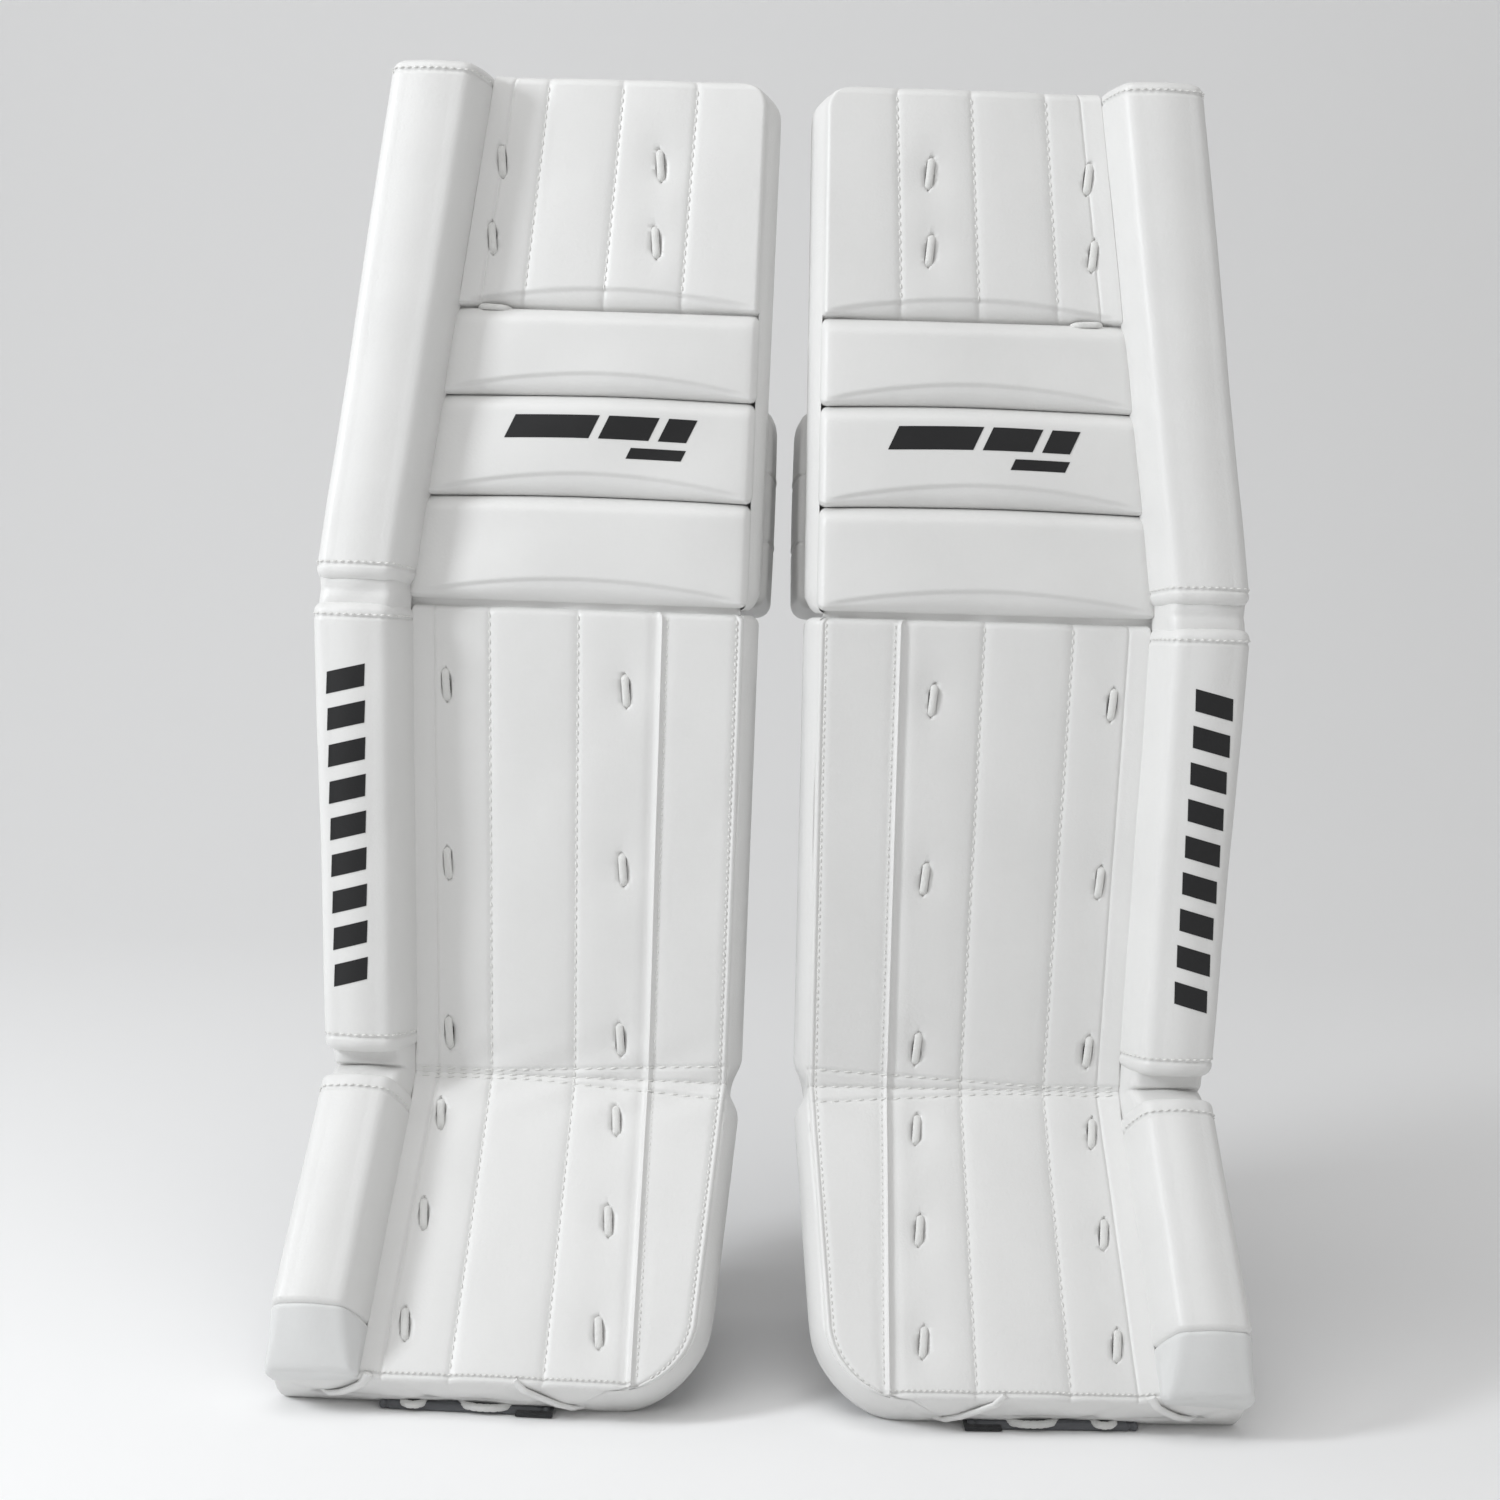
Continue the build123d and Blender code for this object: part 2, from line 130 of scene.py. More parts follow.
class Pad:
    """One pad's three stretches, found from its CAD nodes and joints."""

    def __init__(self, side):
        self.side = side
        hinge = joint(f"{side}_ankle_break")
        across = np.array(hinge["axis"]) * (1 if side == "left" else -1)
        planes = {part: front_plane(f"{side}_{part}_face") for part in ("boot", "shin", "thigh")}

        def crease(low, high):
            rows = [planes[low][1], planes[high][1], across]
            known = [planes[low][0] @ rows[0], planes[high][0] @ rows[1], np.array(hinge["pos_m"]) @ across]
            return np.linalg.solve(np.array(rows), np.array(known))

        ankle, knee = crease("boot", "shin"), crease("shin", "thigh")
        self.boot = Stretch(ankle, across, planes["boot"][1])
        self.shin = Stretch(ankle, across, planes["shin"][1])
        self.upper = Stretch(knee, across, planes["thigh"][1])

    def lower(self, u, s, n):
        """Boot and shin as one surface that turns over a short stretch at the ankle."""
        u, s, n = np.broadcast_arrays(*(np.asarray(x, float) for x in (u, s, n)))
        share = np.clip(s / (2 * CREASE_BLEND) + 0.5, 0, 1)
        share = (share * share * (3 - 2 * share))[..., None]
        front = unit((1 - share) * self.boot.front + share * self.shin.front)
        base = np.where(s[..., None] < 0, self.boot(u, s, 0 * n), self.shin(u, s, 0 * n))
        return base + n[..., None] * MM * front

    def ground(self, u, y, z):
        """Boot channel coordinates: u across, y to the rear of the ankle crease, z up from the floor."""
        u, y, z = (np.asarray(x, float)[..., None] * MM for x in (u, y, z))
        rear = np.array([-self.boot.across[1], self.boot.across[0], 0.0])
        rear *= np.sign(rear[1])
        base = np.array([self.boot.origin[0], self.boot.origin[1], 0.0])
        return base + u * self.boot.across + y * rear + z * np.array([0.0, 0.0, 1.0])


def lerp(a, b, share):
    return a + (b - a) * share


def along_lower(values, s):
    """A size given at the toe, ankle and knee, at s on the lower part."""
    s = np.asarray(s, float)
    toe, ankle, knee = values
    return np.where(s < 0, lerp(ankle, toe, -s / BOOT_LENGTH), lerp(ankle, knee, s / SHIN_LENGTH))


def edge_lower(line, s):
    return along_lower((TOE[line], ANKLE[line], KNEE[line]), s)


def edge_upper(line, s):
    return lerp(KNEE[line], TOP[line], np.asarray(s, float) / UPPER_LENGTH)


def inner_lower(s):
    """The inner edge, with the round toe corner."""
    drop = np.clip(-np.asarray(s, float) - (BOOT_LENGTH - TOE_CORNER), 0, TOE_CORNER - 0.001)
    return edge_lower(0, s) + TOE_CORNER - np.sqrt(TOE_CORNER**2 - drop**2)


# ---- meshes ----
def bump(x, width):
    return np.exp(-((x / width) ** 2))


def smoothstep(low, high, x):
    t = np.clip((x - low) / (high - low), 0, 1)
    return t * t * (3 - 2 * t)


def travelled(points):
    """How far along a line each of its points lies."""
    return np.concatenate([[0], np.cumsum(np.linalg.norm(np.diff(points, axis=0), axis=1))])


def turning(points):
    """1 for a closed ring that runs anticlockwise, -1 for a clockwise one."""
    ahead = np.roll(points, -1, 0)
    return np.sign((points[:, 0] * ahead[:, 1] - ahead[:, 0] * points[:, 1]).sum())


def add_object(name, verts, faces, material):
    """A finished mesh; a piece that would share a CAD node's name is called its cover."""
    name += "_cover" if name in frame["nodes"] else ""
    mesh = bpy.data.meshes.new(name)
    mesh.from_pydata([tuple(v) for v in verts], [], faces)
    shape = bmesh.new()
    shape.from_mesh(mesh)
    bmesh.ops.remove_doubles(shape, verts=shape.verts, dist=1e-6)
    bmesh.ops.recalc_face_normals(shape, faces=shape.faces)
    shape.to_mesh(mesh)
    shape.free()
    mesh.shade_smooth()
    mesh.set_sharp_from_angle(angle=math.radians(55))
    mesh.materials.append(material)
    obj = bpy.data.objects.new(name, mesh)
    bpy.context.scene.collection.objects.link(obj)
    return obj


def tube_faces(count, around):
    """Faces that join count rings of around points each, and close both ends."""
    faces = []
    for start in range(0, (count - 1) * around, around):
        for j in range(around):
            k = (j + 1) % around
            faces.append((start + j, start + k, start + around + k, start + around + j))
    last = (count - 1) * around
    return faces + [tuple(range(around))[::-1], tuple(range(last, last + around))]


class Bag:
    """Loose geometry gathered into one mesh."""

    def __init__(self):
        self.verts, self.faces, self.count = [], [], 0

    def add(self, verts, faces):
        self.verts.append(np.asarray(verts).reshape(-1, 3))
        self.faces += [tuple(i + self.count for i in face) for face in faces]
        self.count += len(self.verts[-1])

    def tube(self, rows):
        """Closed rings (rows, points, 3), joined and closed at both ends."""
        rows = np.asarray(rows)
        self.add(rows, tube_faces(*rows.shape[:2]))

    def piece(self, pad, name, material, group, replaces=(), fill=None):
        """The gathered mesh as one of the pad's pieces, hung on its body or, for the lower part and the
        knee, left where it stands.
        """
        verts = np.concatenate(self.verts)
        obj = add_object(f"{pad.side}_{name}", verts, self.faces, material)
        follow(obj, pad, group)
        if replaces:
            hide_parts(*[f"{pad.side}_{node}" for node in replaces])


ARC_STEPS = 5  # pieces that a ring's rounded corner is made of


def ring(corners, radii, cuts, puffs=None):
    """Points round a closed polygon with soft corners; edges may swell outwards by a puff."""
    corners = np.asarray(corners, float)
    count = len(corners)
    puffs = puffs or [0] * count
    outward = turning(corners)
    starts, ends = [], []
    for i in range(count):
        before, here, after = corners[i - 1], corners[i], corners[(i + 1) % count]
        to_before, to_after = before - here, after - here
        reach_before = min(radii[i], 0.48 * np.linalg.norm(to_before))
        reach_after = min(radii[i], 0.48 * np.linalg.norm(to_after))
        starts.append(here + unit(to_before) * reach_before)
        ends.append(here + unit(to_after) * reach_after)
    points = []
    for i in range(count):
        t = np.linspace(0, 1, ARC_STEPS + 1)[:, None]
        points.append((1 - t) ** 2 * starts[i] + 2 * t * (1 - t) * corners[i] + t * t * ends[i])
        target = starts[(i + 1) % count]
        t = np.linspace(0, 1, cuts[i] + 2)[1:-1, None]
        direction = target - ends[i]
        normal = unit(np.array([direction[1], -direction[0]])) * outward
        points.append(ends[i] + t * direction + np.sin(np.pi * t) * normal * puffs[i])
    return np.concatenate(points)


def drawn_in(points, amount):
    """A closed ring's points moved inwards by amount."""
    tangent = unit(np.roll(points, -1, 0) - np.roll(points, 1, 0))
    normal = np.stack([-tangent[:, 1], tangent[:, 0]], 1) * turning(points)
    amount = np.asarray(amount, float)
    return points + normal * (amount[:, None] if amount.ndim else amount)


def rounded(end, inward, rounding):
    """Places going in from a rounded end, and how far a section is drawn in at each."""
    turns = np.linspace(math.pi / 2, 0, 6)
    return [(end + inward * rounding * (1 - math.sin(a)), rounding * (1 - math.cos(a))) for a in turns]


def stations(low, high, rounding, step, fine=()):
    """Places along a padded form and how far its section is drawn in at each, rounding off both ends."""
    middle = set(np.linspace(low + rounding, high - rounding, max(2, int((high - low) / step)))[1:-1])
    for place in fine:
        middle |= {place + d for d in np.linspace(-4, 4, 11)}
    inside = [(x, 0.0) for x in sorted(middle) if low + rounding < x < high - rounding]
    return rounded(low, 1, rounding) + inside + rounded(high, -1, rounding)[::-1]


def shrunk(points, amount):
    """A closed ring's points moved towards its middle, by amount at its far edges."""
    low, high = points.min(0), points.max(0)
    middle, half = (low + high) / 2, (high - low) / 2
    return middle + (points - middle) * np.clip(1 - amount / half, 0.05, 1)


def padded_form(bag, place, section, low, high, rounding, step, seams=(), swell=0.0, thin=False):
    """A stuffed form: sections (a, b) along t, with rounded ends, sewn grooves and a slight swell.

    The ends of a thin form are rounded square to its skin, those of others towards their middle.
    """
    rows = []
    for t, inset in stations(low, high, rounding, step, seams):
        groove = sum(0.9 * bump(t - seam, 1.1) for seam in seams)
        share = (t - low) / (high - low)
        points = drawn_in(section(t), groove - swell * math.sin(math.pi * share))
        points = drawn_in(points, inset) if thin else shrunk(points, inset)
        rows.append(place(points[:, 0], t, points[:, 1]))
    bag.tube(rows)


def resample(points, normals, pitch):
    """Places at even steps along a line on a surface, with the tangent and normal there."""
    length = travelled(points)
    count = max(1, int(length[-1] / pitch))
    where = (np.arange(count) + 0.5) * length[-1] / count

    def pick(values, places):
        return np.stack([np.interp(places, length, values[:, k]) for k in range(3)], 1)

    tangent = pick(points, where + pitch * 0.3) - pick(points, where - pitch * 0.3)
    return pick(points, where), unit(tangent), unit(pick(normals, where))


STITCH_PITCH, STITCH_LENGTH, STITCH_WIDTH, STITCH_SLANT = 5.6, 4.3, 0.62, 0.12


def stitches(bag, points, normals, pitch=STITCH_PITCH):
    """A row of sewn stitches, each a short bead of thread that dips into the leather at both ends."""
    points, normals = np.asarray(points, float), np.asarray(normals, float)
    centres, tangent, normal = resample(points, normals, pitch * MM)
    sideways = np.cross(normal, tangent)
    along = tangent + STITCH_SLANT * sideways
    places = np.array([-1, -0.62, 0, 0.62, 1]) * STITCH_LENGTH / 2 * MM * pitch / STITCH_PITCH
    widths = np.array([0.15, 0.85, 1, 0.85, 0.15]) * STITCH_WIDTH * MM
    lifts = np.array([-0.5, 0.1, 0.3, 0.1, -0.5]) * MM
    turns = np.linspace(0, 2 * math.pi, 6, endpoint=False)
    faces = tube_faces(len(widths), len(turns))
    for centre, a, b, c in zip(centres, along, sideways, normal):
        rings = [
            centre + a * t + c * rise + w * (np.cos(turns)[:, None] * b + np.sin(turns)[:, None] * c)
            for t, w, rise in zip(places, widths, lifts)
        ]
        bag.add(np.concatenate(rings), faces)


STRAND_PITCH = 4.2  # of the strands that cross on a lace


def rope(bag, points, radius, around, flat, normal, weave=0.0):
    """A round or flattened cord along points; weave raises crossing strands on it."""
    radius *= MM
    points = np.asarray(points, float)
    tangent = unit(np.gradient(points, axis=0))
    side = unit(np.cross(tangent, np.broadcast_to(np.asarray(normal, float), tangent.shape)))
    lift = np.cross(side, tangent)
    turns = np.linspace(0, 2 * math.pi, around, endpoint=False)
    rows = []
    for centre, a, b, travel in zip(points, side, lift, travelled(points)):
        swell = np.ones(around)
        if weave:
            phase = travel / (STRAND_PITCH * MM) * 2 * math.pi
            swell += weave * np.maximum(np.sin(2 * turns + phase), np.sin(2 * turns - phase))
        rows.append(
            centre
            + radius * (np.cos(turns) * swell)[:, None] * a
            + radius * flat * (np.sin(turns) * swell)[:, None] * b
        )
    bag.tube(rows)


# ---- materials ----
class Look:
    """A procedural material that grows node by node."""

    def __init__(self, name, color, roughness, **settings):
        self.material = bpy.data.materials.new(name)
        self.material.use_nodes = True
        self.nodes, self.links = self.material.node_tree.nodes, self.material.node_tree.links
        self.shader = self.nodes["Principled BSDF"]
        self.fill_in(self.shader, (), Base_Color=(*color, 1), Roughness=roughness, **settings)
        self.place = self.nodes.new("ShaderNodeTexCoord").outputs["Object"]

    def fill_in(self, node, sources, **settings):
        for key, value in settings.items():
            node.inputs[key.replace("_", " ")].default_value = value
        for output, key in sources:
            self.links.new(output, node.inputs[key])
        return node

    def add(self, kind, sources, **settings):
        return self.fill_in(self.nodes.new(f"ShaderNode{kind}"), sources, **settings)

    def noise(self, scale, detail=2.0):
        return self.add("TexNoise", [(self.place, "Vector")], Scale=scale, Detail=detail).outputs["Fac"]

    def bumps(self, *heights):
        """Bumps stacked on each other: (height output, strength, distance in metres)."""
        below = []
        for height, strength, distance in heights:
            node = self.add("Bump", [(height, "Height")] + below, Strength=strength, Distance=distance)
            below = [(node.outputs["Normal"], "Normal")]
        self.fill_in(self.shader, below)

    def mottled(self, factor, low, high):
        """Base colour that drifts between two colours."""
        ramp = self.add("ValToRGB", [(factor, "Fac")])
        for element, position, color in zip(ramp.color_ramp.elements, (0.3, 0.7), (low, high)):
            element.position = position
            element.color = (*color, 1)
        self.fill_in(self.shader, [(ramp.outputs["Color"], "Base Color")])

    def roughness_drift(self, factor, low, high):
        node = self.add("MapRange", [(factor, "Value")], To_Min=low, To_Max=high)
        self.fill_in(self.shader, [(node.outputs["Result"], "Roughness")])


def leather(name, color, drift, rough=(0.36, 0.5), grain=0.16):
    look = Look(name, color, rough[0], Specular_IOR_Level=0.42, Coat_Weight=0.05, Coat_Roughness=0.3)
    pebbles = look.add("TexVoronoi", [(look.place, "Vector")], Scale=620)
    pebbles.feature = "SMOOTH_F1"
    broad, fine = look.noise(14, 3), look.noise(1500, 1)
    look.mottled(broad, [c * (1 - drift) for c in color], color)
    look.roughness_drift(broad, *rough)
    look.bumps((broad, 0.25, 0.003), (pebbles.outputs["Distance"], grain, 0.0006), (fine, 0.08, 0.0003))
    return look.material


def woven(name, color, scale, rough=0.8, gap=0.6):
    look = Look(name, color, rough, Sheen_Weight=0.25)
    weaves = []
    for axis in ("X", "Z"):
        wave = look.add("TexWave", [(look.place, "Vector")], Scale=scale, Distortion=0.6)
        wave.bands_direction = axis
        weaves.append((wave.outputs["Fac"], len(weaves)))
    mix = look.add("Math", weaves)
    mix.operation = "MULTIPLY"
    look.mottled(mix.outputs[0], [c * gap for c in color], color)
    look.bumps((mix.outputs[0], 0.5, 0.0004), (look.noise(40), 0.15, 0.002))
    return look.material


def brushed_lining(name, color):
    look = Look(name, color, 0.92, Sheen_Weight=0.5, Sheen_Roughness=0.4)
    nap, drift = look.noise(700, 4), look.noise(18, 3)
    look.mottled(drift, [c * 0.75 for c in color], [min(1, c * 1.25) for c in color])
    look.bumps((drift, 0.3, 0.002), (nap, 0.5, 0.0005))
    return look.material


def moulded(name, color, rough=0.42):
    look = Look(name, color, rough)
    look.roughness_drift(look.noise(30, 2), rough * 0.85, rough * 1.2)
    look.bumps((look.noise(900, 2), 0.12, 0.0003))
    return look.material


WHITE = leather("white_leather", (0.76, 0.758, 0.748), 0.035)
CAP = leather("cap_leather", (0.72, 0.725, 0.72), 0.04, rough=(0.45, 0.6))
BLACK_LEATHER = leather("bridge_leather", (0.035, 0.036, 0.04), 0.3, rough=(0.45, 0.6), grain=0.3)
MARK = leather("mark_print", (0.012, 0.012, 0.013), 0.2, rough=(0.4, 0.5), grain=0.1)
LINING = brushed_lining("brushed_lining", (0.085, 0.088, 0.095))
BACKING = woven("backing_nylon", (0.055, 0.057, 0.062), 520)
THREAD = moulded("thread", (0.74, 0.74, 0.72), 0.6)
CORD = woven("lace_cord", (0.88, 0.88, 0.86), 700, rough=0.85, gap=0.86)
WEBBING = woven("webbing", (0.03, 0.031, 0.034), 330, rough=0.75)
HOOK = moulded("hook_plastic", (0.02, 0.02, 0.022))
GREY_THREAD = woven("grey_thread", (0.35, 0.35, 0.36), 900, rough=0.7)
TOE_GREY = leather("toe_grey", (0.13, 0.135, 0.145), 0.2, rough=(0.45, 0.6), grain=0.2)
# near-black material for the rims sunk in the lace slits: painted shade for the dark inside of each slit
SLIT_SHADE = moulded("eyelet_shadow", (0.015, 0.015, 0.015), 0.9)


def follow(obj, pad, group):
    """Hang a piece on its body; a piece of the lower part or of the knee is baked where it stands and hangs
    on nothing.
    """
    side = pad.side
    if group == "lower":
        start, end = pad.lower(0, -CREASE_BLEND, 0), pad.lower(0, CREASE_BLEND, 0)
        tuple(start)
        tuple(end)
        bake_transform(obj)
    elif group == "knee":
        start, end = pad.shin(0, SHIN_LENGTH - CREASE_BLEND, 0), pad.upper(0, CREASE_BLEND, 0)
        tuple(start)
        tuple(end)
        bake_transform(obj)
    else:
        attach(obj, f"{side}_{group}")


# ---- lower and upper bodies: padded shells closed all round ----
def waves(u, s):
    """The slight unevenness of leather over foam, in millimetres."""
    return (
        0.30 * np.sin(u / 23 + s / 41)
        + 0.28 * np.sin(s / 29 - u / 37 + 1.3)
        + 0.16 * np.sin(u / 11 + s / 17 + 0.7)
    )


def loop_pits(u, s, loops):
    """Slits under the lacing loops, and the pull of the cord on the leather round them."""
    depth = 0 * (u + s)
    for loop_u, loop_s in loops:
        across, along = u - loop_u, (s - loop_s) / (LOOP_HALF + 1)
        width = SLIT_HALF * np.clip(1 - np.abs(along) ** 3, 0, 1)
        slit = smoothstep(0.7, -0.7, np.abs(across - LOOP_LEAN * along) - width) * (np.abs(along) < 1)
        pull = 1.7 if loop_u < 0 else 0.8
        depth = depth + 3.2 * slit + pull * np.exp(-((across / 12) ** 2) - ((s - loop_s) / 18) ** 2)
    return depth


def quilting(u, lines):
    """Sewn channels, with the foam rounding down to them."""
    return sum(1.0 * bump(u - line, 1.4) + 0.8 * bump(u - line, 8) for line in lines)


EDGE_RADIUS = 3


def edge_round(distance):
    """How far the surface has dropped at a distance inside a rounded edge."""
    short = np.clip(EDGE_RADIUS - distance, 0, EDGE_RADIUS - 0.05)
    return EDGE_RADIUS - np.sqrt(EDGE_RADIUS**2 - short**2)


def ankle_seams(u):
    """s of the three sewn lines that meet at the outer end of the ankle crease."""
    share = np.clip((np.asarray(u, float) - ANKLE[0]) / (ANKLE[1] - ANKLE[0]), 0, 1)
    fan = np.clip(1 - 1.35 * share, 0, 1)
    return 2.5 + 8.5 * fan, 0 * share, -2.5 - 8.5 * np.clip(1 - 1.6 * share, 0, 1)


WALL_BULGE = 8.5  # of the stuffed inner side
ROLL_SEAM = 12.5  # from the roll's foot to the thin seam beside it


def under_roll(u, foot):
    """1 where the outer roll covers the front, 0 where it is open."""
    return smoothstep(0.5, 4, u - foot)


def beside_roll(u, foot):
    """The front dips slightly towards the roll, and its last strip turns up to meet it."""
    return 2.6 * smoothstep(-ROLL_SEAM - 1, 3, u - foot) - 1.6 * smoothstep(-75, -ROLL_SEAM, u - foot)


def lower_lines(s):
    return [along_lower(line, s) for line in STITCHED]


def lower_height(u, s):
    """Height of the front over the planes of the boot and shin: seams, bead, lace pits and folds."""
    foot, bead = edge_lower(1, s), along_lower(BEAD, s)
    height = waves(u, s) - quilting(u, lower_lines(s)) + beside_roll(u, foot)
    away = u - bead
    height += 1.7 * bump(away, 1.0) - 1.2 * bump(away - 4.5, 2.6) - 1.0 * bump(away + 3.4, 1.5)
    height -= 0.8 * bump(u - foot + ROLL_SEAM, 0.9) + 1.1 * bump(u - inner_lower(s) - 4, 1.3)
    height -= loop_pits(u, s, SHIN_LOOPS + BOOT_LOOPS)
    height -= 1.2 * bump(s + BOOT_LENGTH - 4, 1.0) * (1 - under_roll(u, foot))
    for line in ankle_seams(u):
        height -= 0.9 * bump(s - line, 1.2)
    height += bump(s, 26) * 0.6 * np.sin(u / 9 + s / 5)
    covered = under_roll(u, foot)
    sunk = smoothstep(8 - BOOT_LENGTH, 20 - BOOT_LENGTH, s) * smoothstep(8, 20, np.abs(s))
    height = lerp(height, lerp(-1.5, -11.0, sunk), covered)
    return height - edge_round(u - inner_lower(s)) * (1 - covered)


def wall_reach(u, low_u, high_u):
    """How far up a padded panel its arched lower wall reaches."""
    share = np.clip((u - low_u) / (high_u - low_u), 0, 1)
    return 2.0 + 10.0 * np.sin(math.pi * share) ** 0.9


def arch_step(above, reach):
    """How far a panel's lower wall lies below its face, under the crisp line where the wall begins."""
    return 2.2 * smoothstep(reach + 2.6, reach - 0.4, above) * smoothstep(2.0, 5.0, reach)


THIGH_LOW = KNEE_ROLL_EDGES[3] + 0.8
FACE = 14


def thigh_lines(s):
    share = (np.asarray(s, float) - THIGH_LOW) / (UPPER_LENGTH - THIGH_LOW)
    return [lerp(low, top, share) for low, top in THIGH_STITCHED]


def upper_height(u, s):
    """Height of the front over the plane of the thigh: its panel, and the bed of the knee rolls."""
    foot, inner = edge_upper(1, s), edge_upper(0, s)
    height = 2.5 + waves(u, s) - quilting(u, thigh_lines(s)) - 0.8 * bump(u - foot + ROLL_SEAM, 0.9)
    height += beside_roll(u, foot)
    height -= loop_pits(u, s, UPPER_LOOPS)
    rise = np.clip((s - THIGH_LOW) / wall_reach(u, inner, foot), 0, 1)
    height -= arch_step(s - THIGH_LOW, wall_reach(u, inner, foot)) + 5.5 * (1 - rise) ** 2.2
    height -= 2.5 * bump(s - THIGH_LOW, 1.1)
    height = lerp(-FACE + 2.0, height, smoothstep(THIGH_LOW - 4, THIGH_LOW - 1, s))
    covered = under_roll(u, foot)
    height = lerp(height, -FACE + 3.0, covered)
    return height - edge_round(u - inner_upper(s)) * (1 - covered)


def inner_upper(s):
    """The inner edge, with the round top corner."""
    drop = np.clip(np.asarray(s, float) - (UPPER_LENGTH - TOP_CORNER), 0, TOP_CORNER - 0.001)
    return edge_upper(0, s) + TOP_CORNER - np.sqrt(TOP_CORNER**2 - drop**2)


def clustered(marks, count):
    """Columns from mark to mark, close together at each mark."""
    t = np.arange(count) / count
    t = t - 0.82 * np.sin(2 * math.pi * t) / (2 * math.pi)
    pieces = [low + (high - low) * t for low, high in zip(marks, marks[1:])]
    return np.concatenate(pieces + [[marks[-1]]])


def rising(marks, gap=0.6):
    """Marks kept in order, at least gap apart."""
    kept = [marks[0]]
    for mark in marks[1:]:
        kept.append(max(mark, kept[-1] + gap))
    return kept


def lower_columns(s):
    """Places across the front at s, closest at its seams, bead, laces and the roll's foot."""
    inner, foot, outer = float(inner_lower(s)), float(edge_lower(1, s)), float(edge_lower(2, s))
    loop_in, loop_out = float(along_lower((-66, -65.5, -61), s)), float(along_lower((53, 45.5, 55), s))
    lines = [float(line) for line in lower_lines(s)]
    marks = [inner + 0.1, inner + 4, float(along_lower(BEAD, s)), loop_in, *lines, loop_out]
    marks = rising(marks + [foot - ROLL_SEAM, foot, foot + 4, outer - 3])
    return clustered(marks, 12)


def upper_columns(s):
    inner, foot, outer = float(inner_upper(s)), float(edge_upper(1, s)), float(edge_upper(2, s))
    lines = [float(line) for line in thigh_lines(s)]
    share = (s - 235) / 50
    loops = [lerp(-69, -70, share), lerp(36, 32, share)]
    marks = sorted([lines[0], loops[0], lines[1], lines[2]]) + [min(loops[1], foot - ROLL_SEAM - 2)]
    marks = rising([inner + 0.1, inner + 4] + marks + [foot - ROLL_SEAM, foot, foot + 4, outer - 3])
    return clustered(marks, 12)


def near(places, reach, step):
    """Rows close together round each of the places."""
    return [place + d for place in places for d in np.arange(-reach, reach + 0.01, step)]


def row_places(low, high, step, extra):
    """Places at even steps, with the extra ones among them."""
    places = sorted(x for x in [*np.arange(low, high, step), *extra] if low < x < high)
    kept = [low]
    for x in places:
        if x - kept[-1] > 0.5:
            kept.append(x)
    return np.array(kept + [high])


def shell_ring(u, height, inner, outer, inset, bulge):
    """A closed ring round the body at one s: front, outer side, back and the stuffed inner side."""
    low, high = -THICK + inset, -inset
    front = np.stack([u, np.minimum(height, 12) - inset], 1)
    front[:, 1] = np.maximum(front[:, 1], low + 2)
    side = [(outer - 0.4, -14.5), (outer, -17), (outer + 0.6, -29), (outer, -THICK + 7)]
    turn = [(outer - 1.5, -THICK + 2.5), (outer - 5, -THICK)]
    back = [(x, -THICK) for x in np.linspace(outer - 5, inner + 5, 26)[1:-1]]
    rest = [(inner + 5, -THICK), (inner + 1.2 - 0.1 * bulge, -THICK + 2.5)]
    rest += [(inner - 0.45 * bulge, -THICK + 7)]
    swell = ((0.8, -32), (0.93, -28), (0.93, -26.2), (0.78, -25.2), (0.96, -24.2), (1, -22))
    swell += ((0.99, -18), (0.9, -14), (0.72, -10), (0.5, -7), (0.26, -4.2), (0.1, -2.6))
    rest += [(inner - share * bulge, n) for share, n in swell]
    walls = np.array(side + turn + back + rest, float)
    walls[:, 1] = np.clip(walls[:, 1], low, high)
    middle = (inner + outer) / 2
    points = np.concatenate([front, walls])
    shrink = 1 - inset / (outer - inner) * 2
    points[:, 0] = middle + (points[:, 0] - middle) * shrink
    return points


def wall_bulge(group, s):
    """How far the inner side is stuffed out past the front: less at the ankle notch and at the ends."""
    if group == "upper":
        share = smoothstep(-6, 14, s) * smoothstep(UPPER_LENGTH + 8, UPPER_LENGTH - 20, s)
        return WALL_BULGE * float(share)
    notch = 1 - 0.8 * math.exp(-(((s + 1) / 7) ** 2))
    return WALL_BULGE * notch * float(smoothstep(-BOOT_LENGTH - 16, -BOOT_LENGTH + 60, s))


KNEE_BEVEL = math.tan(math.radians(9.5))  # behind the knee's hinge line


def knee_bevel(group, s, n):
    """s of a body's points, cut back behind the knee's hinge line so that the knee can fold backwards."""
    cut = np.clip(-n - FACE, 0, None) * KNEE_BEVEL
    if group == "lower":
        return s - cut * smoothstep(SHIN_LENGTH - 30, SHIN_LENGTH, s)
    return s + cut * smoothstep(30, 0, s)


